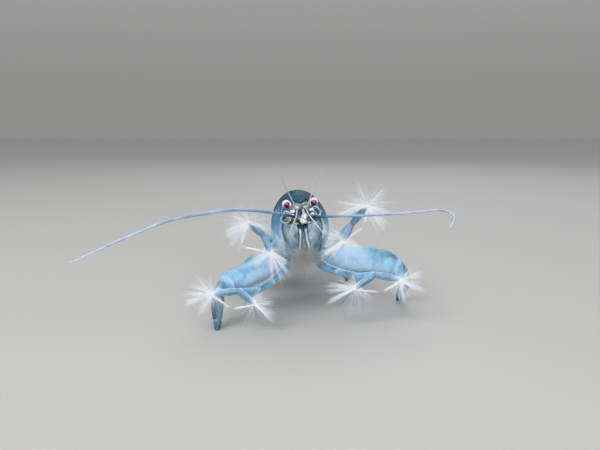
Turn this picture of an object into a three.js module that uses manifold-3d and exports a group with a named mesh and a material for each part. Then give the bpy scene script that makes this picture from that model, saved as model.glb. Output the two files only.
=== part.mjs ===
// A giant filter shrimp at life size, fans open, standing on its legs. Millimetres, +Z up.
//
// The animal faces -Y, so its left side is +X and its tail points to +Y. While it is built, y = 0 is
// the plane of the eyes and z = 0 the floor. At the end the whole group is moved so that its origin
// is the middle of the bottom of its bounding box.
//
// The head, carapace and abdomen are built straight, symmetric about x = 0, in a group that carries
// the small roll and turn of the trunk. The legs reach the floor, so they are built in the floor's
// own frame and end in small flats at z = 0.

import * as THREE from "three";
import { mergeVertices } from "three/addons/utils/BufferGeometryUtils.js";
import Module from "manifold-3d";

const wasm = await Module();
wasm.setup();

// ---------------------------------------------------------------- driving dimensions
const GAP = 0.3; // clearance between neighbouring pieces
const FEELER_RADIUS = 0.26; // the thinnest a feeler is made

const TRUNK_ROLL = THREE.MathUtils.degToRad(-4.75); // the animal's left side stands a little high
const TRUNK_TURN = THREE.MathUtils.degToRad(3.5);
const TRUNK_PIVOT = new THREE.Vector3(0.4, 0, 22);

const AXIS_HEIGHT = 21.2; // height of the trunk's widest line at the eyes
const AXIS_SLOPE = 0.171; // how fast that line falls towards the tail
const TAIL_DROP = 5.4; // how much further the abdomen curls down
const CARAPACE_END = 27.4;
const TELSON_START = 63.2;
const TAIL_END = 72.5;

const EYE = { x: 3.35, y: 0, z: 27.6, radius: 1.05 };
const EYE_CLEARANCE = 0.35; // between the eye and the edge of the carapace
const STALK_CLEARANCE = 0.2; // between the eye and its stalk
const SHELL = 0.8; // thickness of the carapace

// Sections of the carapace from front to back: place, half width, height above and below the axis.
const CARAPACE = [
  { y: -0.4, wide: 5.2, up: 6.9, down: 5.0 },
  { y: 2, wide: 6.1, up: 7.8, down: 6.9 },
  { y: 5, wide: 6.8, up: 8.7, down: 7.7 },
  { y: 10, wide: 7.45, up: 9.9, down: 7.9 },
  { y: 14, wide: 7.6, up: 10.5, down: 7.5 },
  { y: 20, wide: 7.5, up: 10.8, down: 6.9 },
  { y: 25, wide: 6.9, up: 10.3, down: 6.3 },
  { y: CARAPACE_END, wide: 6.3, up: 9.6, down: 6.0 },
];

// The body inside the carapace, from the face to the last leg.
const THORAX = [
  { y: -1.9, wide: 1.6, up: 4.4, down: 1.2 },
  { y: -1.2, wide: 3.1, up: 5.3, down: 3.2 },
  { y: 1, wide: 4.5, up: 6.3, down: 5.6 },
  { y: 4, wide: 5.5, up: 7.4, down: 6.7 },
  { y: 9, wide: 6.25, up: 8.7, down: 7.0 },
  { y: 14, wide: 6.4, up: 9.3, down: 6.5 },
  { y: 20, wide: 6.3, up: 9.6, down: 5.8 },
  { y: CARAPACE_END, wide: 5.1, up: 8.4, down: 5.0 },
];

// The abdomen's outline, and where one ring of it ends and the next begins.
const ABDOMEN = [
  { y: 27, wide: 6.1, up: 9.3, down: 5.6 },
  { y: 36, wide: 6.1, up: 8.4, down: 5.9 },
  { y: 46, wide: 5.6, up: 6.8, down: 5.1 },
  { y: 56, wide: 4.4, up: 4.6, down: 3.5 },
  { y: 64, wide: 3.2, up: 2.6, down: 2.0 },
];
const RING_EDGES = [CARAPACE_END + GAP, 33.2, 39.4, 46.2, 51.8, 56.8, TELSON_START];
// How a ring's sections change from its front edge to its back edge. The side plates hang lowest in
// the middle of the ring, so the lower edge of the abdomen is scalloped.
const RING_SWELL = [
  { t: 0, side: 0.93, below: 0.78 },
  { t: 0.3, side: 1.0, below: 1.08 },
  { t: 0.7, side: 1.03, below: 1.12 },
  { t: 1, side: 1.0, below: 0.84 },
];

// ---------------------------------------------------------------- materials
const shell = (name, color, roughness) =>
  new THREE.MeshStandardMaterial({ name, color, roughness, metalness: 0 });
const CARAPACE_BLUE = shell("carapace_blue", 0x2f5f7d, 0.3);
const FACE_GREY = shell("face_grey", 0x9fb3b4, 0.4);
const ABDOMEN_BLUE = shell("abdomen_blue", 0x4c7a92, 0.32);
const LEG_BLUE = shell("leg_blue", 0x93bddb, 0.4);
const FAN_WHITE = shell("fan_white", 0xd5dfe8, 0.5);
const FEELER_BLUE = shell("feeler_blue", 0x7f9fd0, 0.4);
const EYE_PINK = shell("eye_pink", 0xc98aa0, 0.12);

// ---------------------------------------------------------------- solids
/** A closed geometry as a manifold-3d solid. */
function solidOf(geometry) {
  const bare = geometry.clone();
  bare.deleteAttribute("normal");
  bare.deleteAttribute("uv");
  const merged = mergeVertices(bare, 1e-4);
  return new wasm.Manifold(
    new wasm.Mesh({
      numProp: 3,
      vertProperties: merged.attributes.position.array,
      triVerts: new Uint32Array(merged.index.array),
    }),
  );
}

/** A manifold-3d solid as a three.js geometry. */
function geometryOf(solid) {
  const { numProp, vertProperties, triVerts } = solid.getMesh();
  const positions = new Float32Array((vertProperties.length / numProp) * 3);
  for (let i = 0; i < positions.length / 3; i++) {
    positions.set(vertProperties.subarray(i * numProp, i * numProp + 3), i * 3);
  }
  const geometry = new THREE.BufferGeometry();
  geometry.setAttribute("position", new THREE.BufferAttribute(positions, 3));
  geometry.setIndex(new THREE.BufferAttribute(triVerts, 1));
  geometry.computeVertexNormals();
  return geometry;
}

/** The largest connected body of a solid: the crumbs that a cut leaves are dropped. */
function largestBody(solid) {
  return solid.decompose().sort((a, b) => b.volume() - a.volume())[0];
}

// ---------------------------------------------------------------- curves and sections
const smoothstep = (t) => t * t * (3 - 2 * t);
const clamp01 = (t) => Math.min(1, Math.max(0, t));

/** Height of the trunk's widest line above the floor at a place along the body. */
function axisHeight(y) {
  const curl = smoothstep(clamp01((y - CARAPACE_END) / (TAIL_END - CARAPACE_END)));
  return AXIS_HEIGHT - AXIS_SLOPE * y - TAIL_DROP * curl;
}

/** A smooth curve through the values that the entries of a table have at their places. */
function smoothValue(table, place, key, x) {
  const n = table.length - 1;
  let i = 0;
  while (i < n - 1 && x > table[i + 1][place]) i++;
  const slope = (a, b) => (table[b][key] - table[a][key]) / (table[b][place] - table[a][place]);
  const [x0, x1] = [table[i][place], table[i + 1][place]];
  const m0 = slope(Math.max(i - 1, 0), i + 1);
  const m1 = slope(i, Math.min(i + 2, n));
  const h = x1 - x0;
  const t = clamp01((x - x0) / h);
  const [v0, v1] = [table[i][key], table[i + 1][key]];
  const rise = (t * t * t - 2 * t * t + t) * h * m0 + (t * t * t - t * t) * h * m1;
  return v0 * (1 - smoothstep(t)) + v1 * smoothstep(t) + rise;
}

/** A unit cylinder along Y whose points are sent to new places: across, along and up in -1..1. */
function shapedCylinder(sides, rings, place) {
  const geometry = new THREE.CylinderGeometry(1, 1, 2, sides, rings);
  const position = geometry.attributes.position;
  const point = new THREE.Vector3();
  for (let i = 0; i < position.count; i++) {
    point.fromBufferAttribute(position, i);
    place(point.x, (point.y + 1) / 2, point.z, point);
    position.setXYZ(i, point.x, point.y, point.z);
  }
  return geometry;
}

/** A stretch of the trunk between two places, with sections from a function of the place. */
function trunkPiece(from, to, sectionAt, sides, rings) {
  const up = new THREE.Vector3();
  return shapedCylinder(sides, rings, (across, along, high, point) => {
    const y = from + (to - from) * along;
    const { wide, above, below } = sectionAt(y, along);
    const fall = (axisHeight(y + 0.01) - axisHeight(y - 0.01)) / 0.02;
    up.set(0, -fall, 1).normalize();
    point.set(across * wide, y, axisHeight(y));
    point.addScaledVector(up, high * (high > 0 ? above : below));
  });
}

/** Sections read from a table, grown by the same amount all round. */
function tableSection(table, grow = 0, growBelow = grow) {
  return (y) => ({
    wide: smoothValue(table, "y", "wide", y) + grow,
    above: smoothValue(table, "y", "up", y) + grow,
    below: smoothValue(table, "y", "down", y) + growBelow,
  });
}

/**
 * A limb: a smooth tube through stations [x, y, z, radius], or [x, y, z, across, thick] where it is
 * flat. It runs from one station number to another, with its flat side facing the given direction.
 */
function limb(stations, options = {}) {
  const { from = 0, to = stations.length - 1, sides = 8, rings = 8, facing = [0, 1, 0] } = options;
  const curve = new THREE.CatmullRomCurve3(
    stations.map(([x, y, z]) => new THREE.Vector3(x, y, z)),
    false,
    "centripetal",
  );
  const last = stations.length - 1;
  const sizes = stations.map(([, , , across, thick = across], i) => ({ i, across, thick }));
  const face = new THREE.Vector3(...facing);
  const [centre, tangent, side, up] = [0, 1, 2, 3].map(() => new THREE.Vector3());
  return shapedCylinder(sides, rings, (across, along, high, point) => {
    const station = from + (to - from) * along;
    curve.getPoint(station / last, centre);
    curve.getTangent(station / last, tangent);
    side.crossVectors(tangent, face).normalize();
    up.crossVectors(side, tangent);
    point
      .copy(centre)
      .addScaledVector(side, across * smoothValue(sizes, "i", "across", station))
      .addScaledVector(up, high * smoothValue(sizes, "i", "thick", station));
  });
}

/** The stations of a limb that is thicker all round, for cutting its neighbours clear of it. */
const grown = (stations, by = GAP) =>
  stations.map(([x, y, z, across, thick = across]) => [x, y, z, across + by, thick + by]);

/** The same limb on the other side of the body. */
const mirrored = (stations) => stations.map(([x, ...rest]) => [-x, ...rest]);

// ---------------------------------------------------------------- assembly
const shrimp = new THREE.Group();
const trunk = new THREE.Group(); // turns about the pivot
const trunkParts = new THREE.Group(); // holds the pieces in the straight body's own frame
trunk.position.copy(TRUNK_PIVOT);
trunk.rotation.set(0, TRUNK_ROLL, TRUNK_TURN, "ZYX");
trunkParts.position.set(0, 0, -TRUNK_PIVOT.z);
trunk.add(trunkParts);
shrimp.add(trunk);
shrimp.updateMatrixWorld(true);

/** Adds a named mesh to a group. */
function addPart(group, name, solid, material) {
  const mesh = new THREE.Mesh(geometryOf(largestBody(solid)), material);
  mesh.name = name;
  group.add(mesh);
}

const SIDES = [
  { name: "left", sign: 1 },
  { name: "right", sign: -1 },
];
const onSide = (stations, sign) => (sign > 0 ? stations : mirrored(stations));

// ---------------------------------------------------------------- carapace and thorax
const TRUNK_SIDES = 18;
const UNDERSIDE_CUT = 1.0; // how far the inner wall runs below the outer one, which opens the underside
const ROSTRUM = [
  [0, 3.5, 28.3, 2.6, 0.5],
  [0, 0.6, 28.2, 2.1, 0.55],
  [0, -1.8, 27.95, 1.1, 0.5],
  [0, -4.1, 27.5, 0.2, 0.3],
];

/** A ball round each eye, which keeps the shell and the face clear of it. */
function eyeSockets(grow) {
  return SIDES.map(({ sign }) => {
    const ball = new THREE.SphereGeometry(EYE.radius + grow, 10, 6);
    return solidOf(ball.translate(sign * EYE.x, EYE.y, EYE.z));
  }).reduce((a, b) => a.add(b));
}

/** The shield over the head and thorax, open at the front, back and underside, with its rostrum. */
function carapaceSolid(grow = 0) {
  const outer = solidOf(
    trunkPiece(CARAPACE[0].y - grow, CARAPACE_END + grow, tableSection(CARAPACE, grow), TRUNK_SIDES, 8),
  );
  const inner = solidOf(
    trunkPiece(-3, CARAPACE_END + 2, tableSection(CARAPACE, -SHELL, UNDERSIDE_CUT), TRUNK_SIDES, 8),
  );
  const rostrum = solidOf(limb(grown(ROSTRUM, grow), { facing: [0, 0, 1], rings: 6 }));
  const shield = outer.add(rostrum);
  return grow ? shield : shield.subtract(inner.subtract(rostrum)).subtract(eyeSockets(EYE_CLEARANCE));
}

function thoraxSolid(grow = 0) {
  const [front, back] = [THORAX[0].y - grow, CARAPACE_END - GAP];
  return solidOf(trunkPiece(front, back, tableSection(THORAX, grow), TRUNK_SIDES, 9));
}

const toFloorFrame = (geometry) => geometry.applyMatrix4(trunkParts.matrixWorld);
const thoraxCutter = thoraxSolid(GAP);
const carapaceCutter = carapaceSolid(GAP);
const thorax = thoraxSolid().subtract(eyeSockets(GAP));
const rostrumCutter = solidOf(limb(grown(ROSTRUM), { facing: [0, 0, 1], rings: 6 }));
addPart(trunkParts, "carapace", carapaceSolid(), CARAPACE_BLUE);
addPart(trunkParts, "thorax", thorax.subtract(rostrumCutter), FACE_GREY);

// What grows from the trunk is cut by it, a little enlarged.
const trunkCutter = thoraxCutter.add(rostrumCutter);

// ---------------------------------------------------------------- eyes
const EYESTALK = [
  [0.7, 0.5, 26.6, 0.8],
  [1.9, 0.1, 27.15, 0.7],
  [2.9, 0, 27.5, 0.72],
];
for (const { name, sign } of SIDES) {
  const ball = new THREE.SphereGeometry(EYE.radius, 12, 8).translate(sign * EYE.x, EYE.y, EYE.z);
  addPart(trunkParts, `eye_${name}`, solidOf(ball), EYE_PINK);
  const stalk = solidOf(limb(onSide(EYESTALK, sign), { facing: [0, 1, 0], rings: 4 }));
  const cut = stalk.subtract(eyeSockets(STALK_CLEARANCE)).subtract(trunkCutter).subtract(carapaceCutter);
  addPart(trunkParts, `eyestalk_${name}`, cut, FACE_GREY);
}

// ---------------------------------------------------------------- feelers
const ANTENNULE_STEM = [
  [0.9, -0.6, 25.5, 0.75],
  [1.0, -2.2, 25.9, 0.72],
  [1.05, -3.4, 26.2, 0.64],
  [1.1, -4.5, 26.5, 0.68],
];
const ANTENNULE_UPPER = [
  [1.35, -4.9, 27.05, 0.36],
  [2.1, -6.3, 29.2, 0.32],
  [3.4, -9.1, 32.6, FEELER_RADIUS],
  [4.6, -12.0, 36.0, FEELER_RADIUS],
];
const ANTENNULE_LOWER = [
  [1.15, -5.2, 26.1, 0.34],
  [1.4, -7.3, 25.75, 0.31],
  [2.5, -9.9, 24.1, 0.28],
  [3.35, -11.4, 22.9, FEELER_RADIUS],
  [4.0, -12.9, 21.75, FEELER_RADIUS],
];
const ANTENNA_STEM = [
  [2.3, -0.2, 23.4, 1.0],
  [1.75, -2.0, 23.9, 0.85],
  [1.4, -3.6, 24.4, 0.7],
  [1.25, -5.3, 24.85, 0.6],
];
const ANTENNA_SCALE = [
  [3.3, -0.6, 24.5, 0.7, 0.3],
  [3.45, -2.0, 24.95, 1.35, 0.3],
  [3.6, -3.8, 25.3, 1.3, 0.28],
  [3.6, -5.6, 25.6, 0.6, 0.26],
];
// The long feelers, in the floor's frame: each sweeps out to its own side and then forward.
const LONG_FEELERS = {
  right: [
    [-0.8, -6.0, 25.0, 0.4],
    [-4.0, -8.5, 26.0, 0.42],
    [-13.2, -13.4, 27.7, 0.42],
    [-20.9, -18, 27.4, 0.38],
    [-27.4, -22.5, 26.5, 0.34],
    [-35.3, -29, 23.7, 0.3],
    [-42.8, -35, 20.6, FEELER_RADIUS],
  ],
  left: [
    [1.7, -6.0, 25.15, 0.4],
    [6.3, -9.2, 25.6, 0.42],
    [14.8, -13, 26.4, 0.42],
    [23.0, -17, 27.5, 0.38],
    [29.2, -21, 28.6, 0.34],
    [30.3, -27, 28.2, 0.3],
    [28.2, -33, 27.0, FEELER_RADIUS],
  ],
};
const WHIP_JOIN = 3.5; // the station where the base of a feeler ends and its tip begins
for (const { name, sign } of SIDES) {
  const stem = solidOf(limb(onSide(ANTENNULE_STEM, sign), { facing: [0, 0, 1], rings: 5 }));
  addPart(trunkParts, `antennule_${name}_stem`, stem.subtract(trunkCutter), FACE_GREY);
  const upper = solidOf(limb(onSide(ANTENNULE_UPPER, sign), { sides: 6, rings: 6 }));
  addPart(trunkParts, `antennule_${name}_upper`, upper.subtract(stem), FEELER_BLUE);
  const lower = solidOf(limb(onSide(ANTENNULE_LOWER, sign), { sides: 6, rings: 7 }));
  addPart(trunkParts, `antennule_${name}_lower`, lower.subtract(stem), FEELER_BLUE);

  const antennaStem = solidOf(limb(onSide(ANTENNA_STEM, sign), { facing: [0, 0, 1], rings: 4 }));
  addPart(trunkParts, `antenna_${name}_stem`, antennaStem.subtract(trunkCutter), FACE_GREY);
  const scale = solidOf(limb(onSide(ANTENNA_SCALE, sign), { facing: [-sign, 0, 1], sides: 10, rings: 6 }));
  const stemCutter = solidOf(limb(onSide(grown(ANTENNA_STEM), sign), { facing: [0, 0, 1], rings: 4 }));
  addPart(trunkParts, `antenna_${name}_scale`, scale.subtract(trunkCutter).subtract(stemCutter), FACE_GREY);

  const base = solidOf(limb(LONG_FEELERS[name], { to: WHIP_JOIN, sides: 6, rings: 9 }));
  const tip = solidOf(limb(LONG_FEELERS[name], { from: WHIP_JOIN + 0.04, sides: 6, rings: 8 }));
  addPart(shrimp, `antenna_${name}_whip_base`, base, FEELER_BLUE);
  addPart(shrimp, `antenna_${name}_whip_tip`, tip, FEELER_BLUE);
}

// ---------------------------------------------------------------- mouth legs
const MAXILLIPED = [
  [0.9, 0.6, 20.4, 0.6],
  [0.7, -2.6, 21.7, 0.5],
  [0.68, -3.5, 20.6, 0.42],
  [0.85, -3.7, 18.6, 0.44],
  [1.2, -3.4, 16.9, 0.34],
];
for (const { name, sign } of SIDES) {
  const leg = solidOf(limb(onSide(MAXILLIPED, sign), { facing: [1, 0, 0], sides: 6, rings: 6 }));
  addPart(trunkParts, `maxilliped_${name}`, leg.subtract(trunkCutter), FACE_GREY);
}

// ---------------------------------------------------------------- abdomen and tail
const rings = RING_EDGES.slice(1).map((end, i) => [RING_EDGES[i] + GAP / 2, end - GAP / 2]);

/** One ring of the abdomen, or the same grown all round to cut what hangs from it. */
function ringSolid([from, to], grow = 0) {
  const table = tableSection(ABDOMEN, grow);
  const section = (y, along) => {
    const side = smoothValue(RING_SWELL, "t", "side", along);
    const low = smoothValue(RING_SWELL, "t", "below", along);
    const { wide, above, below } = table(y);
    return { wide: wide * side, above: above * side, below: below * low };
  };
  return solidOf(trunkPiece(from, to, section, 14, 4));
}
rings.forEach((ring, i) => addPart(trunkParts, `abdomen_${i + 1}`, ringSolid(ring), ABDOMEN_BLUE));

const TELSON = [
  [0, TELSON_START + GAP, 6.1, 2.1, 1.1],
  [0, 65.8, 5.2, 1.95, 0.85],
  [0, 69.5, 3.9, 1.45, 0.55],
  [0, TAIL_END - 0.4, 3.0, 0.95, 0.35],
];
addPart(trunkParts, "telson", solidOf(limb(TELSON, { facing: [0, 0, 1], rings: 6 })), ABDOMEN_BLUE);

const UROPOD_INNER = [
  [2.2, 63.5, 4.6, 0.6, 0.45],
  [3.0, 66, 3.8, 1.6, 0.32],
  [4.2, 69.8, 2.9, 1.9, 0.28],
  [5.1, 73.0, 2.4, 0.8, 0.26],
];
const UROPOD_OUTER = [
  [3.2, 62.6, 3.9, 0.6, 0.45],
  [5.3, 65.0, 3.0, 1.85, 0.32],
  [7.4, 68.6, 2.2, 2.3, 0.28],
  [8.9, 72.0, 1.9, 1.0, 0.26],
];
const UROPODS = { inner: UROPOD_INNER, outer: UROPOD_OUTER };
const lastRingSection = tableSection(ABDOMEN, 1.5 * GAP);
const lastRing = solidOf(trunkPiece(RING_EDGES[5], TELSON_START + GAP / 2, lastRingSection, 14, 3));
for (const { name, sign } of SIDES) {
  for (const [kind, stations] of Object.entries(UROPODS)) {
    const paddle = solidOf(limb(onSide(stations, sign), { facing: [0, 0, 1], rings: 6 }));
    addPart(trunkParts, `uropod_${name}_${kind}`, paddle.subtract(lastRing), ABDOMEN_BLUE);
  }
}

// Each pair of swimmerets hangs from a bar across the underside of its ring.
const SWIMMERET_REACH = 2.3;
const SWIMMERET_TAPER = 0.09; // each pair is smaller than the one before by this share
const SWIMMERET = [
  [0.95, 0, 0, 0.6, 0.5],
  [1.15, 0.9, -1.4, 1.15, 0.38],
  [1.25, 2.0, -2.9, 1.0, 0.3],
  [1.2, 3.1, -4.0, 0.3, 0.26],
];
rings.slice(0, 5).forEach((ring, i) => {
  const y = (ring[0] + ring[1]) / 2;
  const scale = 1 - SWIMMERET_TAPER * i;
  const high = axisHeight(y) - tableSection(ABDOMEN)(y).below - 0.9;
  const reach = SWIMMERET_REACH * scale;
  const bar = new THREE.CylinderGeometry(0.55, 0.55, 2 * reach, 6).rotateZ(Math.PI / 2);
  const pair = SIDES.map(({ sign }) => {
    const stations = SWIMMERET.map(([out, back, up, across, thick]) => [
      sign * out * reach,
      y + back * scale,
      high + up * scale,
      across,
      thick,
    ]);
    return solidOf(limb(stations, { facing: [0, 1, 0.4], sides: 6, rings: 3 }));
  });
  const joined = pair.reduce((a, b) => a.add(b), solidOf(bar.translate(0, y, high)));
  addPart(trunkParts, `swimmerets_${i + 1}`, joined.subtract(ringSolid(ring, GAP)), ABDOMEN_BLUE);
});

// ---------------------------------------------------------------- cutters for the limbs
// A solid made in the trunk's frame, moved to the floor's frame.
const inFloorFrame = (build) => solidOf(toFloorFrame(geometryOf(build)));
const bodyCutter = inFloorFrame(trunkCutter).add(inFloorFrame(carapaceCutter.subtract(thoraxCutter)));

/** A big block under the floor, which cuts the small flats that the feet stand on. */
const underFloor = solidOf(new THREE.BoxGeometry(400, 400, 20).translate(0, 0, -10));

// ---------------------------------------------------------------- fan arms
// The first two pairs of legs end in fans: two fingers, wide open, each with a spray of bristles.
// Every arm runs from inside the body to the hinge between its fingers.
const FAN_ARMS = {
  leg1_right: {
    arm: [
      [-3.2, 5.6, 14.4, 1.1],
      [-4.7, 1.6, 14.8, 1.05],
      [-5.9, -2.0, 17.0, 0.85],
      [-7.3, -4.4, 19.3, 0.95],
      [-8.6, -6.0, 20.7, 0.5],
    ],
    fingers: {
      outer: { tip: [-12.31, -6.6, 24.0], bristles: 8 },
      inner: { tip: [-6.9, -6.6, 16.6], bristles: 8 },
    },
  },
  leg1_left: {
    arm: [
      [3.4, 5.6, 14.6, 1.1],
      [6.6, 1.4, 14.9, 1.05],
      [8.4, -2.2, 17.4, 0.85],
      [10.0, -4.6, 20.6, 0.95],
      [11.9, -6.2, 23.3, 0.5],
    ],
    fingers: {
      outer: { tip: [15.58, -7.2, 28.0], bristles: 8.5 },
      inner: { tip: [10.0, -7.0, 19.35], bristles: 7.3 },
    },
  },
  leg2_right: {
    arm: [
      [-3.2, 8.4, 13.4, 1.1],
      [-4.0, 3.8, 10.4, 1.15],
      [-7.4, -2.4, 8.4, 0.9],
      [-10.9, -8.2, 7.8, 1.0],
      [-13.9, -12.3, 9.0, 0.5],
    ],
    fingers: {
      outer: { tip: [-20.11, -13.4, 8.6], bristles: 7.8 },
      inner: { tip: [-10.0, -13.6, 6.2], bristles: 7.3 },
    },
  },
  leg2_left: {
    arm: [
      [3.2, 8.4, 13.5, 1.1],
      [5.6, 3.8, 11.4, 1.15],
      [9.8, -1.6, 10.8, 0.9],
      [13.8, -6.2, 10.8, 1.0],
      [17.2, -9.2, 12.1, 0.5],
    ],
    fingers: {
      outer: { tip: [23.35, -10.4, 11.0], bristles: 7.8 },
      inner: { tip: [12.13, -10.4, 8.9], bristles: 8 },
    },
  },
};
const FINGER_START = 0.75; // each finger begins this far from the hinge
const SPRAY_THICKNESS = 0.5;
const SPRAY_SPREAD = THREE.MathUtils.degToRad(125); // to each side of the finger's own direction
const SPRAY_CUP = THREE.MathUtils.degToRad(9); // how far the bristles lean forward
const SPRAY_CLEARANCE = 0.4; // the lowest bristles stay this far above the floor

/** A finger from the hinge to its tip, swollen in the middle. */
function fingerSolid(hinge, tip) {
  const along = tip.clone().sub(hinge).normalize();
  const start = hinge.clone().addScaledVector(along, FINGER_START);
  const station = (t, across, thick) => [...start.clone().lerp(tip, t).toArray(), across, thick];
  const stations = [
    station(0, 0.55, 0.5),
    station(0.4, 0.85, 0.7),
    station(0.75, 0.7, 0.6),
    station(1.03, 0.35, 0.35),
  ];
  return solidOf(limb(stations, { sides: 6, rings: 4 }));
}

/** The spray of bristles at a finger's tip: a shallow dish with a notch along the finger. */
function spraySolid(hinge, tip, radius) {
  const rise = radius * Math.tan(SPRAY_CUP);
  const profile = [
    [0, 0],
    [radius, rise],
    [radius, rise + SPRAY_THICKNESS],
    [0, SPRAY_THICKNESS],
  ].map(([across, high]) => new THREE.Vector2(across, high));
  const dish = solidOf(new THREE.LatheGeometry(profile, 14));

  const far = 2 * radius;
  const edge = new THREE.Vector2(Math.cos(SPRAY_SPREAD), Math.sin(SPRAY_SPREAD)).multiplyScalar(far);
  const open = new THREE.Shape([
    new THREE.Vector2(-0.3, 0),
    new THREE.Vector2(edge.x, edge.y),
    new THREE.Vector2(edge.x, far),
    new THREE.Vector2(-far, far),
    new THREE.Vector2(-far, -far),
    new THREE.Vector2(edge.x, -far),
    new THREE.Vector2(edge.x, -edge.y),
  ]);
  const notch = new THREE.ExtrudeGeometry(open, { depth: far, bevelEnabled: false });
  notch.translate(0, 0, -radius).rotateX(Math.PI / 2);

  const outward = tip.clone().sub(hinge).setY(0).normalize();
  const forward = new THREE.Vector3(0, -1, 0);
  const across = new THREE.Vector3().crossVectors(outward, forward);
  const place = new THREE.Matrix4().makeBasis(outward, forward, across).setPosition(tip);
  return solidOf(geometryOf(dish.subtract(solidOf(notch))).applyMatrix4(place));
}

const lowSpace = underFloor.translate([0, 0, SPRAY_CLEARANCE]);
const ARM_SHAPE = { facing: [0.2, 0.3, 1], sides: 8, rings: 8 };
const armCutter = Object.values(FAN_ARMS)
  .map(({ arm }) => solidOf(limb(grown(arm), ARM_SHAPE)))
  .reduce((a, b) => a.add(b));
for (const [leg, { arm, fingers }] of Object.entries(FAN_ARMS)) {
  const hinge = new THREE.Vector3(...arm.at(-1));
  addPart(shrimp, `${leg}_arm`, solidOf(limb(arm, ARM_SHAPE)).subtract(bodyCutter), LEG_BLUE);
  const tips = Object.entries(fingers).map(([, { tip }]) => new THREE.Vector3(...tip));
  Object.entries(fingers).forEach(([finger, { bristles }], i) => {
    const apart = tips[i].clone().sub(tips[1 - i]).normalize();
    const whole = fingerSolid(hinge, tips[i])
      .subtract(armCutter)
      .add(spraySolid(hinge, tips[i], bristles))
      .trimByPlane(apart.toArray(), apart.dot(hinge) + GAP / 2)
      .subtract(lowSpace);
    addPart(shrimp, `${leg}_finger_${finger}`, whole, FAN_WHITE);
  });
}

// ---------------------------------------------------------------- walking legs
// The stout third pair. Stations: in the body, hip, thigh, thigh, knee, shank, foot.
const STOUT_LEGS = {
  right: [
    [-3.0, 10.9, 13.6, 1.5, 1.5],
    [-6.4, 7.9, 11.3, 2.3, 2.1],
    [-12.0, 2.0, 9.7, 2.9, 2.7],
    [-16.8, -3.4, 8.9, 2.5, 2.3],
    [-18.9, -7.4, 7.5, 1.45, 1.4],
    [-19.1, -10.0, 4.9, 1.45, 1.35],
    [-18.95, -11.9, 1.9, 1.0, 0.95],
    [-18.9, -12.8, -0.4, 0.5, 0.5],
  ],
  left: [
    [3.2, 10.9, 13.6, 1.5, 1.5],
    [7.6, 9.3, 12.3, 2.5, 2.2],
    [15.4, 7.2, 12.2, 3.4, 2.9],
    [22.0, 5.0, 11.6, 3.0, 2.6],
    [26.0, 4.6, 8.9, 1.6, 1.5],
    [26.9, 7.2, 5.6, 1.5, 1.4],
    [26.5, 10.0, 2.3, 1.05, 1.0],
    [26.2, 11.6, -0.4, 0.5, 0.5],
  ],
};
const STOUT_CUTS = [0, 4, 6, 7]; // thigh, shank and claw meet at these stations
const STOUT_NAMES = ["thigh", "shank", "claw"];
for (const [name, stations] of Object.entries(STOUT_LEGS)) {
  STOUT_NAMES.forEach((piece, i) => {
    const [from, to] = [STOUT_CUTS[i] + (i ? 0.05 : 0), STOUT_CUTS[i + 1] - (i < 2 ? 0.05 : 0)];
    const shape = { from, to, sides: 10, rings: [9, 5, 3][i], facing: [0.2, 1, 0] };
    const clear = solidOf(limb(stations, shape)).subtract(bodyCutter).subtract(armCutter);
    addPart(shrimp, `leg3_${name}_${piece}`, clear.subtract(underFloor), LEG_BLUE);
  });
}

// The fourth and fifth pairs stand under the back of the carapace.
const HIND_LEGS = {
  leg4: [
    [3.2, 15.2, 13.0, 1.2],
    [7.6, 15.6, 10.6, 1.75],
    [12.6, 17.4, 9.2, 1.85],
    [15.6, 19.4, 6.9, 1.0],
    [16.6, 21.4, 3.6, 1.0],
    [17.0, 23.0, -0.4, 0.42],
  ],
  leg5: [
    [3.0, 18.9, 12.6, 1.1],
    [6.6, 20.8, 10.4, 1.5],
    [10.6, 24.4, 8.9, 1.55],
    [12.7, 27.8, 6.4, 0.9],
    [13.6, 30.4, 3.3, 0.9],
    [14.0, 32.2, -0.4, 0.4],
  ],
};
for (const { name, sign } of SIDES) {
  for (const [leg, stations] of Object.entries(HIND_LEGS)) {
    const solid = solidOf(limb(onSide(stations, sign), { facing: [0.2, 1, 0.1], rings: 7 }));
    addPart(shrimp, `${leg}_${name}`, solid.subtract(bodyCutter).subtract(underFloor), LEG_BLUE);
  }
}

// ---------------------------------------------------------------- origin
const box = new THREE.Box3().setFromObject(shrimp, true);
const middle = box.getCenter(new THREE.Vector3());
shrimp.position.set(-middle.x, -middle.y, -box.min.z);

export default shrimp;
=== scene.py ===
"""A giant filter shrimp at life size, fans open: its dressed pieces, their finishes, light and camera.

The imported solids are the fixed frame. Sizes below are in millimetres of the two frames that the solids
are built in: the floor's frame, with z = 0 on the floor and y = 0 at the eyes, and the trunk's own
straight frame, which is symmetric about x = 0. The head looks along -Y, so its left side is +X.
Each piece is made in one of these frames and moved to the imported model's metres when it is finished.
"""

from __future__ import annotations

import logging
import random
from dataclasses import dataclass
from enum import Enum
from math import acos, atan2, copysign, cos, exp, hypot, pi, radians, sin, sqrt, tau
from typing import Callable, Iterator, Mapping, NamedTuple, Sequence, Union

import bmesh
import bpy
from bmesh.types import BMEdge, BMesh, BMFace, BMVert
from mathutils import Matrix, Vector, noise

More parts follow.
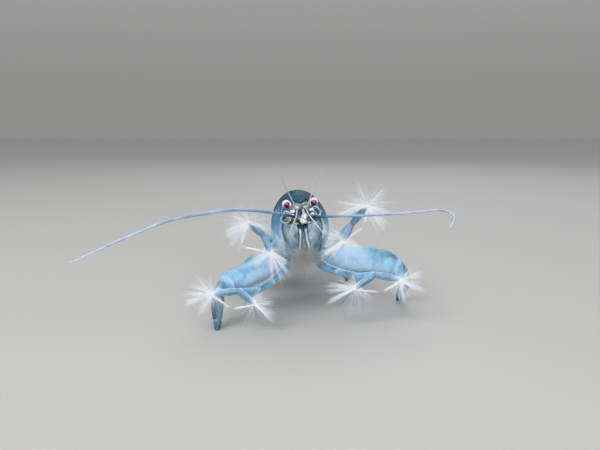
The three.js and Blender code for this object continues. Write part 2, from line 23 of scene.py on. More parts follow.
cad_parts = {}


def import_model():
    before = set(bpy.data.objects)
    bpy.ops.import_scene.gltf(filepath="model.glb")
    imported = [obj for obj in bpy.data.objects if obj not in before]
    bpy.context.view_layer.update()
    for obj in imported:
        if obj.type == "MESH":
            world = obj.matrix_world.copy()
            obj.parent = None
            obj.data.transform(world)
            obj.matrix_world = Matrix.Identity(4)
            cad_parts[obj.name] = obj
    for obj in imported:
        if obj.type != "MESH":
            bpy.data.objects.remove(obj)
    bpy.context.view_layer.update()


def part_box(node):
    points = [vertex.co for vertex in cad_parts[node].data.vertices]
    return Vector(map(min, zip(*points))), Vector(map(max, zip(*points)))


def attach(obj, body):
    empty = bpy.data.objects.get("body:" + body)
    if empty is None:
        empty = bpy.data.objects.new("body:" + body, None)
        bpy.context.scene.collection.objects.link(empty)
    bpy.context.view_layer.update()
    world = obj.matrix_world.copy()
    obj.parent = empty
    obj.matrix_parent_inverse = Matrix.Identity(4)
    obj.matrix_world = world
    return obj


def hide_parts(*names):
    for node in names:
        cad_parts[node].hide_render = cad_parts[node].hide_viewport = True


LOG = logging.getLogger("shrimp")

Row = tuple[float, ...]
Table = tuple[Row, ...]
Colour = tuple[float, float, float]
Socket = bpy.types.NodeSocket
Inputs = Mapping[Union[str, int], object]
Place = Callable[[float, float], Vector]
Paint = Union[float, Callable[[float, float], float]]

MM = 0.001  # metres in a millimetre
WELD = 1e-5  # points closer than this are one, in millimetres
SEED = 4711
UP = Vector((0, 0, 1))
AHEAD = Vector((0, -1, 0))


# ------ sizes that the solids share
TRUNK_ROLL = radians(-4.75)
TRUNK_TURN = radians(3.5)
TRUNK_PIVOT = Vector((0.4, 0, 22))
AXIS_HEIGHT = 21.2
AXIS_SLOPE = 0.171
TAIL_DROP = 5.4
CARAPACE_END = 27.4
TELSON_START = 63.2
TAIL_END = 72.5
GAP = 0.3
EYE_CENTRE = Vector((3.35, 0, 27.6))
EYE_RADIUS = 1.05

# Sections of the trunk: place, half width, height above and below the axis.
CARAPACE: Table = (
    (-0.4, 5.2, 6.9, 5), (2, 6.1, 7.8, 6.9), (5, 6.8, 8.7, 7.7), (10, 7.45, 9.9, 7.9), (14, 7.6, 10.5, 7.5),
    (20, 7.5, 10.8, 6.9), (25, 6.9, 10.3, 6.3), (27.4, 6.3, 9.6, 6),
)
THORAX: Table = (
    (-1.9, 1.6, 4.4, 1.2), (-1.2, 3.1, 5.3, 3.2), (1, 4.5, 6.3, 5.6), (4, 5.5, 7.4, 6.7), (9, 6.25, 8.7, 7),
    (14, 6.4, 9.3, 6.5), (20, 6.3, 9.6, 5.8), (27.4, 5.1, 8.4, 5),
)
ABDOMEN: Table = (
    (27, 6.1, 9.3, 5.6), (36, 6.1, 8.4, 5.9), (46, 5.6, 6.8, 5.1), (56, 4.4, 4.6, 3.5), (64, 3.2, 2.6, 2),
)
RING_EDGES: Row = (CARAPACE_END + GAP, 33.2, 39.4, 46.2, 51.8, 56.8, TELSON_START)
RING_SWELL: Table = ((0, 0.93, 0.78), (0.3, 1, 1.08), (0.7, 1.03, 1.12), (1, 1, 0.84))
ROSTRUM: Table = (
    (-4.1, 0.2, 27.5, 0.3), (-1.8, 1.1, 27.95, 0.5), (0.6, 2.1, 28.2, 0.55), (3.5, 2.6, 28.3, 0.5),
)


class Side(Enum):
    """The animal's two sides, by the sign of x."""

    LEFT = 1
    RIGHT = -1

    @property
    def word(self) -> str:
        """The side's name as the solids' names have it."""
        return self.name.lower()

    def pick(self, pair: tuple) -> tuple:
        """This side's own of a pair that is given left first."""
        return pair[self is Side.RIGHT]


class Slot(Enum):
    """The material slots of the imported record."""

    CARAPACE = "carapace_blue"
    FACE = "face_grey"
    ABDOMEN = "abdomen_blue"
    LEG = "leg_blue"
    FAN = "fan_white"
    FEELER = "feeler_blue"
    EYE = "eye_pink"


# ------ curves
def clamp01(value: float) -> float:
    """The value held between 0 and 1."""
    return min(1, max(0, value))


def ease(value: float) -> float:
    """A smooth rise from 0 to 1 as the value goes from 0 to 1."""
    held = clamp01(value)
    return held * held * (3 - 2 * held)


def mix(first: float, second: float, share: float) -> float:
    """A value between two others."""
    return first + (second - first) * share


def bell(value: float, middle: float, width: float) -> float:
    """A smooth hump of height 1 round the middle."""
    return exp(-(((value - middle) / width) ** 2))


def curve(table: Sequence[Row], column: int, place: float) -> float:
    """The value of a column on a smooth curve through a table's rows.

    Args:
        table: Rows that begin with their place, in rising order.
        column: Which column is read.
        place: Where it is read.

    Returns:
        The value there, held at the ends of the table.
    """
    last = len(table) - 1
    start = 0
    while start < last - 1 and place > table[start + 1][0]:
        start += 1

    def slope(first: int, second: int) -> float:
        """How fast the column rises between two rows."""
        rise = table[second][column] - table[first][column]
        return rise / (table[second][0] - table[first][0])

    width = table[start + 1][0] - table[start][0]
    share = clamp01((place - table[start][0]) / width)
    eased = ease(share)
    into = (share**3 - 2 * share**2 + share) * width * slope(max(start - 1, 0), start + 1)
    out = (share**3 - share**2) * width * slope(start, min(start + 2, last))
    return mix(table[start][column], table[start + 1][column], eased) + into + out


def axis_height(y: float) -> float:
    """Height of the trunk's widest line at a place along the body."""
    curl = ease((y - CARAPACE_END) / (TAIL_END - CARAPACE_END))
    return AXIS_HEIGHT - AXIS_SLOPE * y - TAIL_DROP * curl


def trunk_point(table: Table, across: float, high: float, y: float, swell: Row = (1, 1, 1)) -> Vector:
    """A point on a section of the trunk.

    Args:
        table: The sections.
        across: Place across the section, -1 to 1.
        high: Place up the section, -1 to 1.
        y: Where the section stands.
        swell: How much the width and the heights above and below are enlarged.

    Returns:
        The point, in the trunk's frame.
    """
    wide = curve(table, 1, y) * swell[0]
    above = curve(table, 2, y) * swell[1]
    below = curve(table, 3, y) * swell[2]
    fall = (axis_height(y + 0.01) - axis_height(y - 0.01)) / 0.02
    up = Vector((0, -fall, 1)).normalized()
    return Vector((across * wide, y, axis_height(y))) + up * high * (above if high > 0 else below)


class Limb:
    """A smooth limb through stations of x, y, z, half width and, where it is flat, half thickness."""

    def __init__(self, stations: Sequence[Row], facing: Row = (0, 1, 0)) -> None:
        """Takes the stations.

        Args:
            stations: The rows.
            facing: The direction that the flat side faces.
        """
        inner = [Vector(row[:3]) for row in stations]
        self.points = [inner[0] * 2 - inner[1], *inner, inner[-1] * 2 - inner[-2]]
        self.sizes = [(i, row[3], row[4] if len(row) > 4 else row[3]) for i, row in enumerate(stations)]
        self.facing = Vector(facing)
        self.last = len(inner) - 1
        self.frames: dict[float, tuple[Vector, Vector, Vector, Vector]] = {}

    def centre(self, station: float) -> Vector:
        """The middle of the limb at a station.

        Args:
            station: Place along the limb.

        Returns:
            The point.
        """
        start = min(max(int(station), 0), self.last - 1)
        t = min(max(station, 0), float(self.last)) - start
        p0, p1, p2, p3 = self.points[start : start + 4]
        d0, d1, d2 = (sqrt((b - a).length) for a, b in ((p0, p1), (p1, p2), (p2, p3)))
        into = ((p1 - p0) / d0 - (p2 - p0) / (d0 + d1) + (p2 - p1) / d1) * d1
        out = ((p2 - p1) / d1 - (p3 - p1) / (d1 + d2) + (p3 - p2) / d2) * d1
        square = (p2 - p1) * 3 - into * 2 - out
        cube = (p1 - p2) * 2 + into + out
        return p1 + (into + (square + cube * t) * t) * t

    def frame(self, station: float) -> tuple[Vector, Vector, Vector, Vector]:
        """The middle, the way forward, the side and the upward direction at a station.

        Args:
            station: Place along the limb.

        Returns:
            The four vectors.
        """
        if station not in self.frames:
            step = 1e-3
            ahead, behind = min(station + step, self.last), max(station - step, 0)
            tangent = (self.centre(ahead) - self.centre(behind)).normalized()
            side = tangent.cross(self.facing).normalized()
            self.frames[station] = (self.centre(station), tangent, side, side.cross(tangent))
        return self.frames[station]

    def surface(self, station: float, angle: float, reach: float = 1) -> Vector:
        """A point on the limb's surface, or inside or outside it.

        Args:
            station: Place along the limb.
            angle: Angle round it.
            reach: Share of the limb's girth.

        Returns:
            The point.
        """
        centre, _, side, up = self.frame(station)
        across = curve(self.sizes, 1, station) * cos(angle)
        high = curve(self.sizes, 2, station) * sin(angle)
        return centre + (side * across + up * high) * reach

    def angle_to(self, station: float, direction: Vector) -> float:
        """The angle round the limb that looks most nearly in a direction."""
        _, _, side, up = self.frame(station)
        return atan2(direction.dot(up), direction.dot(side))


def on_side(stations: Sequence[Row], side: Side) -> list[Row]:
    """Stations of a limb for one side of the body: as given on the left, mirrored on the right."""
    return [(row[0] * side.value, *row[1:]) for row in stations]


def ring_marks(count: int, cap: float, steps: int = 4) -> list[float]:
    """Where the rings of a limb with rounded ends stand, from 0 to 1.

    Args:
        count: How many bands lie between the rounded ends.
        cap: Share of the length that each rounded end takes.
        steps: How many bands each rounded end has.

    Returns:
        The places in rising order, crowded towards the ends.
    """
    head = [cap * (1 - cos(pi / 2 * i / steps)) for i in range(steps)]
    middle = [cap + (1 - 2 * cap) * i / count for i in range(count + 1)]
    return head + middle + [1 - mark for mark in reversed(head)]


def capped(along: float, cap: float) -> float:
    """The share of its full girth that a limb with rounded ends has at a place."""
    edge = min(min(along, 1 - along) / cap, 1)
    return sqrt(max(0, 1 - (1 - edge) ** 2))


def rim(
    limb: Limb, count: int, marks: Row, lean: Row, cap: float, inset: float
) -> Iterator[tuple[Vector, Vector]]:
    """Finds where hairs stand round the far part of a flat limb.

    Args:
        limb: The limb.
        count: How many hairs there are.
        marks: Where they begin, how far they reach on, and over what share they turn onwards.
        lean: How much the first ones point outwards and onwards.
        cap: Share of the limb that its rounded end takes.
        inset: How deep they are rooted, as a share of its girth.

    Yields:
        The root of each hair and the way that it points.
    """
    for turn in range(count):
        share = turn / (count - 1)
        along = marks[0] + marks[1] * sin(pi * min(share, 1 - share))
        _, onward, side, _ = limb.frame(along * limb.last)
        later = ease((along - marks[0]) / marks[2])
        near = share < 0.5
        way = (side if near else -side) * (lean[0] - later) + onward * (lean[1] + later)
        root = limb.surface(along * limb.last, 0 if near else pi, capped(along, cap) * inset)
        yield root, way.normalized()


# ------ frames
@dataclass(frozen=True)
class Frames:
    """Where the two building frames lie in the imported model."""

    floor: Matrix
    trunk: Matrix

    @classmethod
    def packed(cls) -> "Frames":
        """Finds both frames from the place of the left eye.

        Returns:
            The frames.
        """
        low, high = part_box("eye_left")
        turned = (
            Matrix.Translation(TRUNK_PIVOT)
            @ Matrix.Rotation(TRUNK_TURN, 4, "Z")
            @ Matrix.Rotation(TRUNK_ROLL, 4, "Y")
            @ Matrix.Translation((0, 0, -TRUNK_PIVOT.z))
        )
        shift = (Vector(low) + Vector(high)) / 2 - (turned @ EYE_CENTRE) * MM
        floor = Matrix.Translation(shift) @ Matrix.Scale(MM, 4)
        return cls(floor, floor @ turned)


# ------ finishes
class Tree:
    """A node tree being wired, for a material or for a group that materials share."""

    def __init__(self, tree: bpy.types.NodeTree) -> None:
        """Takes the tree."""
        self.tree = tree

    def node(self, kind: str, values: Inputs | None = None, **settings: object) -> bpy.types.Node:
        """Adds a node.

        Args:
            kind: The end of Blender's name of the node's type.
            values: For each input, by name or number, a value or the socket that feeds it.
            **settings: The node's own properties.

        Returns:
            The node.
        """
        made = self.tree.nodes.new(kind if kind.startswith("NodeGroup") else f"ShaderNode{kind}")
        for name, setting in settings.items():
            setattr(made, name, setting)
        for name, value in (values or {}).items():
            self.feed(made.inputs[name], value)
        return made

    def feed(self, socket: Socket, value: object) -> None:
        """Sets an input, or links it to the socket that feeds it.

        Args:
            socket: The input.
            value: A value or a socket.
        """
        if isinstance(value, Socket):
            self.tree.links.new(value, socket)
        else:
            socket.default_value = value

    def sum(self, operation: str, first: object, second: object, hold: bool = False) -> Socket:
        """The outcome of a sum of two values."""
        return self.node("Math", {0: first, 1: second}, operation=operation, use_clamp=hold).outputs[0]

    def times(self, first: object, second: object) -> Socket:
        """One value times another."""
        return self.sum("MULTIPLY", first, second)

    def blend(self, share: object, first: object, second: object) -> Socket:
        """A colour between two others."""
        return self.node("Mix", {0: share, 6: first, 7: second}, data_type="RGBA").outputs[2]

    def span(self, value: object, low: float, high: float, start: float = 0, end: float = 1) -> Socket:
        """A value brought smoothly from one range to another."""
        limits = {"Value": value, "From Min": low, "From Max": high, "To Min": start, "To Max": end}
        return self.node("MapRange", limits, interpolation_type="SMOOTHSTEP").outputs[0]

    def noise(self, where: object, scale: object, detail: float, **more: float) -> Socket:
        """A field of noise."""
        values = {"Vector": where, "Scale": scale, "Detail": detail}
        values.update((name.title(), value) for name, value in more.items())
        return self.node("TexNoise", values).outputs[0]

    def painted(self, name: str) -> Socket:
        """What a piece's points have in one of their painted values."""
        return self.node("Attribute", attribute_name=name).outputs["Fac"]


def new_material(name: str) -> tuple[bpy.types.Material, Tree, bpy.types.Node, Socket]:
    """Starts a material.

    Args:
        name: Its name.

    Returns:
        The material, its tree, its shader and the place on the piece.
    """
    material = bpy.data.materials.new(name)
    material.use_nodes = True
    tree = Tree(material.node_tree)
    where = tree.node("TexCoord").outputs["Object"]
    return material, tree, material.node_tree.nodes["Principled BSDF"], where


def new_object(name: str, data: bpy.types.ID) -> bpy.types.Object:
    """Puts a new object into the scene.

    Args:
        name: Its name.
        data: What it shows.

    Returns:
        The object.
    """
    made = bpy.data.objects.new(name, data)
    bpy.context.scene.collection.objects.link(made)
    return made


def new_group(name: str, inputs: Inputs, output: str) -> tuple[Tree, Mapping[str, Socket], Socket]:
    """Starts a node group that reads a Vector and numbers and puts out one value.

    Args:
        name: The group's name.
        inputs: Its number inputs with their usual values.
        output: Its output.

    Returns:
        The tree, what it is given, and the socket of what it puts out.
    """
    group = bpy.data.node_groups.new(name, "ShaderNodeTree")
    group.interface.new_socket("Vector", in_out="INPUT", socket_type="NodeSocketVector")
    for word, usual in inputs.items():
        made = group.interface.new_socket(word, in_out="INPUT", socket_type="NodeSocketFloat")
        made.default_value = usual
    group.interface.new_socket(output, in_out="OUTPUT", socket_type="NodeSocketFloat")
    tree = Tree(group)
    return tree, tree.node("NodeGroupInput").outputs, tree.node("NodeGroupOutput").inputs[output]


class SharedEffects:
    """The node groups that several finishes use, each built once."""

    def __init__(self) -> None:
        """Builds the groups."""
        self.clouds = self.build_clouds()
        self.specks = self.build_specks()
        self.grain = self.build_grain()

    @staticmethod
    def build_clouds() -> bpy.types.NodeTree:
        """Soft clouds of pigment under the shell, -1 to 1, in two sizes.

        Returns:
            The group.
        """
        tree, given, out = new_group("pigment_clouds", {"Scale": 400}, "Cloud")
        broad = tree.noise(given["Vector"], given["Scale"], 3, distortion=0.6)
        fine = tree.noise(given["Vector"], tree.times(given["Scale"], 5.3), 5, roughness=0.65)
        both = tree.sum("ADD", tree.times(broad, 1.3), tree.times(fine, 0.7))
        tree.feed(out, tree.span(both, 0.62, 1.38, -1, 1))
        return tree.tree

    @staticmethod
    def build_specks() -> bpy.types.NodeTree:
        """Small round spots of pigment, thinned out by chance.

        Returns:
            The group.
        """
        tree, given, out = new_group("pigment_specks", {"Scale": 2500, "Share": 0.4, "Size": 0.3}, "Speck")
        cells = tree.node("TexVoronoi", {"Vector": given["Vector"], "Scale": given["Scale"]}).outputs
        spot = tree.span(tree.sum("DIVIDE", cells["Distance"], given["Size"]), 0.55, 1, 1, 0)
        chance = tree.node("SeparateColor", {"Color": cells["Color"]}).outputs[0]
        tree.feed(out, tree.times(spot, tree.sum("LESS_THAN", chance, given["Share"])))
        return tree.tree

    @staticmethod
    def build_grain() -> bpy.types.NodeTree:
        """The height of a shell's fine pits and waves.

        Returns:
            The group.
        """
        tree, given, out = new_group("shell_grain", {"Scale": 3000, "Pits": 0.5}, "Height")
        values = {"Vector": given["Vector"], "Scale": given["Scale"]}
        cells = tree.node("TexVoronoi", values, feature="SMOOTH_F1").outputs
        pits = tree.times(tree.span(cells["Distance"], 0.05, 0.45), given["Pits"])
        waves = tree.noise(given["Vector"], tree.times(given["Scale"], 0.35), 4)
        tree.feed(out, tree.sum("ADD", pits, waves))
        return tree.tree


@dataclass(frozen=True)
class Finish:
    """A finish: how the values painted on a piece become its colour, and what its surface is like.

    The painted value "shade" runs from 0 to 1 through the colours, pushed to and fro by clouds of
    pigment, and "tint" from 0 to 1 lays the accent over them.
    """

    name: str
    colours: Table  # shade, red, green, blue
    accent: Colour = (0.02, 0.05, 0.12)
    speck: Colour = (0.02, 0.06, 0.1)
    speck_size: Row = (2600, 0.35, 0.3, 0.5)  # cells to the metre, share kept, size, strength
    cloud_scale: float = 350
    cloud: float = 0.2
    grain_scale: float = 3000
    pits: float = 0.5
    relief: float = 0.00004
    rough: tuple[float, float] = (0.25, 0.45)
    soft: float = 0.25
    soft_depth: float = 0.0008
    glaze: float = 0.35
    sheen: float = 0
    shine: float = 0.5

    def build(self, effects: SharedEffects) -> bpy.types.Material:
        """Makes the material.

        Args:
            effects: The shared node groups.

        Returns:
            The material.
        """
        material, tree, shader, where = new_material(self.name)
        values = {"Vector": where, "Scale": self.cloud_scale}
        clouds = tree.node("Group", values, node_tree=effects.clouds)
        pushed = tree.times(clouds.outputs["Cloud"], self.cloud)
        shade = tree.sum("ADD", tree.painted("shade"), pushed, hold=True)
        ramp = tree.node("ValToRGB", {"Fac": shade})
        stops = ramp.color_ramp.elements
        while len(stops) < len(self.colours):
            stops.new(1)
        for stop, (place, *colour) in zip(stops, self.colours):
            stop.position = place
            stop.color = (*colour, 1)

        scale, share, size, strength = self.speck_size
        values = {"Vector": where, "Scale": scale, "Share": share, "Size": size}
        specks = tree.node("Group", values, node_tree=effects.specks)
        spotted = tree.times(specks.outputs["Speck"], strength)
        colour = tree.blend(spotted, ramp.outputs["Color"], (*self.speck, 1))
        colour = tree.blend(tree.painted("tint"), colour, (*self.accent, 1))
        tree.feed(shader.inputs["Base Color"], colour)
        tree.feed(shader.inputs["Roughness"], tree.span(clouds.outputs["Cloud"], -1, 1, *self.rough))

        values = {"Vector": where, "Scale": self.grain_scale, "Pits": self.pits}
        grain = tree.node("Group", values, node_tree=effects.grain)
        bump = tree.node("Bump", {"Height": grain.outputs["Height"], "Distance": self.relief})
        tree.feed(shader.inputs["Normal"], bump.outputs["Normal"])

        for word, value in (
            ("Subsurface Weight", self.soft), ("Subsurface Radius", (0.6, 0.9, 1)),
            ("Subsurface Scale", self.soft_depth), ("Coat Weight", self.glaze), ("Coat Roughness", 0.12),
            ("Sheen Weight", self.sheen), ("Specular IOR Level", self.shine),
        ):
            shader.inputs[word].default_value = value
        return material


class Palette:
    """Every finish of the animal, built once."""

    def __init__(self) -> None:
        """Builds the finishes."""
        effects = SharedEffects()
        self.carapace = Finish("carapace_shell", (
            (0, 0.014, 0.032, 0.045), (0.3, 0.044, 0.098, 0.14), (0.6, 0.11, 0.215, 0.32),
            (0.82, 0.27, 0.405, 0.53), (1, 0.6, 0.73, 0.82),
        ), accent=(0.105, 0.205, 0.41), speck_size=(4200, 0.35, 0.3, 0.5),
            cloud=0.16, rough=(0.45, 0.62), glaze=0.03, soft=0.3, shine=0.1,
        ).build(effects)
        self.face = Finish("face_shell", (
            (0, 0.01, 0.024, 0.026), (0.28, 0.058, 0.095, 0.108), (0.55, 0.19, 0.265, 0.305),
            (0.8, 0.395, 0.49, 0.545), (1, 0.93, 0.95, 0.94),
        ), accent=(0.11, 0.065, 0.025), speck=(0.09, 0.12, 0.1), speck_size=(6200, 0.22, 0.32, 0.45),
            cloud=0.13, rough=(0.3, 0.48), soft=0.35, glaze=0.2, relief=0.00003, shine=0.4,
        ).build(effects)
        self.feeler_base = Finish("feeler_joints", (
            (0, 0.012, 0.016, 0.03), (0.3, 0.058, 0.056, 0.09), (0.55, 0.23, 0.215, 0.255),
            (0.8, 0.64, 0.6, 0.54), (1, 0.93, 0.93, 0.9),
        ), accent=(0.07, 0.032, 0.08), speck_size=(6000, 0.2, 0.3, 0.4), cloud=0.14,
            rough=(0.2, 0.38), glaze=0.45, relief=0.00002,
        ).build(effects)
        self.whip = Finish("feeler_whips", (
            (0, 0.02, 0.034, 0.062), (0.3, 0.075, 0.12, 0.205), (0.6, 0.2, 0.265, 0.375),
            (0.85, 0.345, 0.41, 0.52), (1, 0.6, 0.66, 0.74),
        ), accent=(0.02, 0.04, 0.14), speck_size=(6000, 0.2, 0.3, 0.3),
            cloud=0.12, rough=(0.3, 0.45), glaze=0.3, relief=0.00001,
        ).build(effects)
        self.antennule = Finish(
            "antennule_whips", ((0, 0.12, 0.13, 0.12), (0.5, 0.4, 0.44, 0.43), (1, 0.8, 0.85, 0.85)),
            accent=(0.16, 0.14, 0.11), speck_size=(6000, 0.2, 0.3, 0.3), cloud=0.1,
            rough=(0.3, 0.45), relief=0.00001,
        ).build(effects)
        self.abdomen = Finish("abdomen_shell", (
            (0, 0.012, 0.045, 0.06), (0.3, 0.03, 0.1, 0.14), (0.6, 0.1, 0.23, 0.31),
            (0.82, 0.3, 0.47, 0.56), (1, 0.6, 0.73, 0.78),
        ), accent=(0.38, 0.48, 0.48), cloud=0.22, rough=(0.36, 0.52), glaze=0.12, soft=0.3, shine=0.35,
        ).build(effects)
        self.leg = Finish("leg_shell", (
            (0, 0.02, 0.042, 0.055), (0.25, 0.075, 0.16, 0.22), (0.5, 0.195, 0.38, 0.525),
            (0.75, 0.41, 0.57, 0.74), (1, 0.7, 0.8, 0.89),
        ), accent=(0.02, 0.06, 0.11), speck=(0.08, 0.22, 0.34), speck_size=(4600, 0.3, 0.3, 0.35),
            cloud=0.13, rough=(0.34, 0.55), soft=0.35, glaze=0.1, shine=0.38,
        ).build(effects)
        self.fan = Finish("fan_fingers", (
            (0, 0.036, 0.078, 0.125), (0.4, 0.1, 0.18, 0.27), (0.7, 0.265, 0.385, 0.5),
            (1, 0.93, 0.95, 0.95),
        ), accent=(0.68, 0.78, 0.85), speck_size=(5200, 0.2, 0.28, 0.3), cloud=0.1,
            rough=(0.3, 0.5), soft=0.4, glaze=0.3, relief=0.00002,
        ).build(effects)
        self.bristle = Finish(
            "bristles", ((0, 0.42, 0.5, 0.59), (0.5, 0.76, 0.815, 0.865), (1, 0.985, 0.985, 0.98)),
            accent=(0.3, 0.33, 0.38), speck_size=(6000, 0.1, 0.3, 0.1), cloud=0.06, rough=(0.35, 0.5),
            soft=0.2, glaze=0.2, relief=0.000005, sheen=0.3,
        ).build(effects)
        self.fringe = Finish(
            "mouth_hairs", ((0, 0.27, 0.255, 0.25), (0.5, 0.44, 0.415, 0.405), (1, 0.64, 0.61, 0.6)),
            accent=(0.3, 0.26, 0.23), speck_size=(6000, 0.1, 0.3, 0.1), cloud=0.08,
            rough=(0.45, 0.6), glaze=0, relief=0.000005,
        ).build(effects)
        self.eye = Finish("eye_cornea", (
            (0, 0.045, 0.008, 0.022), (0.3, 0.14, 0.032, 0.075), (0.5, 0.35, 0.125, 0.21),
            (0.68, 0.56, 0.42, 0.53), (1, 0.78, 0.7, 0.8),
        ), accent=(0.56, 0.06, 0.15), speck=(0.3, 0.05, 0.12), speck_size=(11000, 0.5, 0.35, 0.25),
            cloud_scale=1500, cloud=0.07, grain_scale=9000, pits=1, relief=0.00001,
            rough=(0.12, 0.22), soft=0.25, glaze=0.6,
        ).build(effects)


# ------ meshes
def read_paint(paint: Paint, angle: float, along: float) -> float:
    """A painted value at a place, given as a number or as a function of angle and share of length."""
    return paint(angle, along) if callable(paint) else paint


class Strand(NamedTuple):
    """One bristle that is to be planted: a thin three-sided spindle."""

    root: Vector
    direction: Vector  # the way it leaves, of unit length
    length: float
    width: float  # half its width at the root
    bend: Vector = Vector()  # how far its tip is carried off the straight line
    shades: tuple[float, float] = (0.7, 0.3)  # at the root and at the tip
    patch: tuple[float, float] = (0.5, 0.5)  # its place on the bake map


class PieceMesh:
    """One piece while it is modelled, in the millimetres of one building frame."""

    BAKE_MAP = "OFBake"
    PATCH = 0.003  # how wide a strand's patch is on the bake map

    def __init__(self, name: str, space: Matrix, coat: bool = False) -> None:
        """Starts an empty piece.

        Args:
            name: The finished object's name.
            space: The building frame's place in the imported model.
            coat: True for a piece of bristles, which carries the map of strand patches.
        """
        self.name = name
        self.space = space
        self.bm: BMesh = bmesh.new()
        self.shade = self.bm.verts.layers.float.new("shade")
        self.tint = self.bm.verts.layers.float.new("tint")
        self.number = self.bm.verts.layers.int.new("strand")
        self.uv = self.bm.loops.layers.uv.new(self.BAKE_MAP) if coat else None
        self.strands: list[Strand] = []

    @staticmethod
    def faces_of(verts: Sequence[BMVert]) -> list[BMFace]:
        """The faces that touch the points that are still there, each once and always in the same order."""
        return list(dict.fromkeys(face for vert in verts if vert.is_valid for face in vert.link_faces))

    def tube(
        self, sides: int, marks: Sequence[float], place: Place,
        shade: Paint = 0.5, tint: Paint = 0, material: int = 0,
    ) -> list[BMVert]:
        """Adds a tube whose rings are sent to new places.

        Args:
            sides: Points in each ring.
            marks: The share of the length at which each ring stands.
            place: Gives a point from its angle and share of the length. One point closes an end.
            shade: The shade painted on it.
            tint: The tint painted on it.
            material: Number of the finish.

        Returns:
            Its points.
        """
        first = bmesh.ops.create_circle(self.bm, segments=sides, radius=1)["verts"]
        verts = list(first)
        edges = list(dict.fromkeys(edge for vert in first for edge in vert.link_edges))
        for _ in marks[1:]:
            grown = bmesh.ops.extrude_edge_only(self.bm, edges=edges)["geom"]
            edges = [item for item in grown if isinstance(item, BMEdge) and item.is_boundary]
            ring = [item for item in grown if isinstance(item, BMVert)]
            bmesh.ops.translate(self.bm, verts=ring, vec=(0, 0, 1))
            verts += ring
        for vert in verts:
            angle = atan2(vert.co.y, vert.co.x)
            along = marks[round(vert.co.z)]
            vert[self.shade] = read_paint(shade, angle, along)
            vert[self.tint] = read_paint(tint, angle, along)
            vert.co = place(angle, along)
        bmesh.ops.remove_doubles(self.bm, verts=verts, dist=WELD)
        kept = [vert for vert in verts if vert.is_valid]
        for face in self.faces_of(kept):
            face.material_index = material
        return kept

    def segment(
        self, limb: Limb, start: float, end: float, sides: int = 20, count: int = 14, cap: float = 0.08,
        swell: Paint = 1, floor: float = float("-inf"), **paint: Paint,
    ) -> list[BMVert]:
        """Adds one round-ended length of a limb.

        Args:
            limb: The limb.
            start: Station where it begins.
            end: Station where it ends.
            sides: Points in each ring.
            count: Bands between the rounded ends.
            cap: Share of its length that each rounded end takes.
            swell: Its girth against the limb's own.
            floor: The lowest height that a point may have.
            **paint: What it is painted with.

        Returns:
            Its points.
        """

        def place(angle: float, along: float) -> Vector:
            """A point of the length."""
            reach = capped(along, cap) * read_paint(swell, angle, along)
            point = limb.surface(mix(start, end, along), angle, reach)
            point.z = max(point.z, floor)
            return point

        return self.tube(sides, ring_marks(count, cap), place, **paint)

    def ball(self, centre: Vector, radii: Row, sides: int = 20, **paint: Paint) -> list[BMVert]:
        """Adds an egg-shaped lump, its poles along Y.

        Args:
            centre: Its middle.
            radii: Its half sizes in x, y and z.
            sides: Points in each ring.
            **paint: What it is painted with, from the angle and the share of the way to the back.

        Returns:
            Its points.
        """

        def place(angle: float, along: float) -> Vector:
            """A point of the lump."""
            girth = sin(pi * along)
            offset = (cos(angle) * girth, -cos(pi * along), sin(angle) * girth)
            return centre + Vector(part * radius for part, radius in zip(offset, radii))

        return self.tube(sides, [i / (sides // 2) for i in range(sides // 2 + 1)], place, **paint)

    def stud(self, at: Vector, outward: Vector, size: float, sharp: float, shade: float, tint: float) -> None:
        """Adds a small blunt spine.

        Args:
            at: Where it stands.
            outward: The direction in which it points.
            size: Its half width.
            sharp: How many times longer than wide it is.
            shade: The shade painted on it.
            tint: The tint painted on it.
        """
        made = bmesh.ops.create_icosphere(self.bm, subdivisions=1, radius=size)["verts"]
        for vert in made:
            rise = vert.co.dot(outward)
            vert.co += outward * (rise * (sharp - 1) if rise > 0 else 0) + at
            vert[self.shade] = shade
            vert[self.tint] = tint

    def strand(self, *sizes: object, **more: object) -> None:
        """Notes one bristle for planting, given as Strand has it."""
        self.strands.append(Strand(*sizes, **more))

    def plant(self) -> None:
        """Models one bristle, copies it until there are enough, and sends each copy to its place."""

        def unit(angle: float, along: float) -> Vector:
            """A point of the bristle that the others are copied from."""
            girth = 0 if along in (0, 1) else 1 - 0.8 * along
            return Vector((cos(angle) * girth, sin(angle) * girth, along))

        grown = self.tube(3, (0, 0.03, 0.27, 0.52, 0.77, 1), unit)
        count = 1
        while count < len(self.strands):
            source = [vert for vert in grown if vert[self.number] < len(self.strands) - count]
            edges = dict.fromkeys(edge for vert in source for edge in vert.link_edges)
            copied = bmesh.ops.duplicate(self.bm, geom=[*source, *edges, *self.faces_of(source)])["geom"]
            fresh = [item for item in copied if isinstance(item, BMVert)]
            for vert in fresh:
                vert[self.number] += count
            grown += fresh
            count *= 2
        if self.uv is not None:
            for face in self.faces_of(grown):
                patch = Vector(self.strands[face.verts[0][self.number]].patch)
                for corner, loop in enumerate(face.loops):
                    turn = tau * corner / len(face.loops)
                    loop[self.uv].uv = patch + Vector((cos(turn), sin(turn))) * (self.PATCH / 2)
        sides = [strand.direction.orthogonal().normalized() for strand in self.strands]
        for vert in grown:
            strand, across = self.strands[vert[self.number]], sides[vert[self.number]]
            t = vert.co.z
            offset = (across * vert.co.x + strand.direction.cross(across) * vert.co.y) * strand.width
            vert[self.shade] = mix(*strand.shades, t)
            vert.co = strand.root + strand.direction * (strand.length * t) + strand.bend * (t * t) + offset

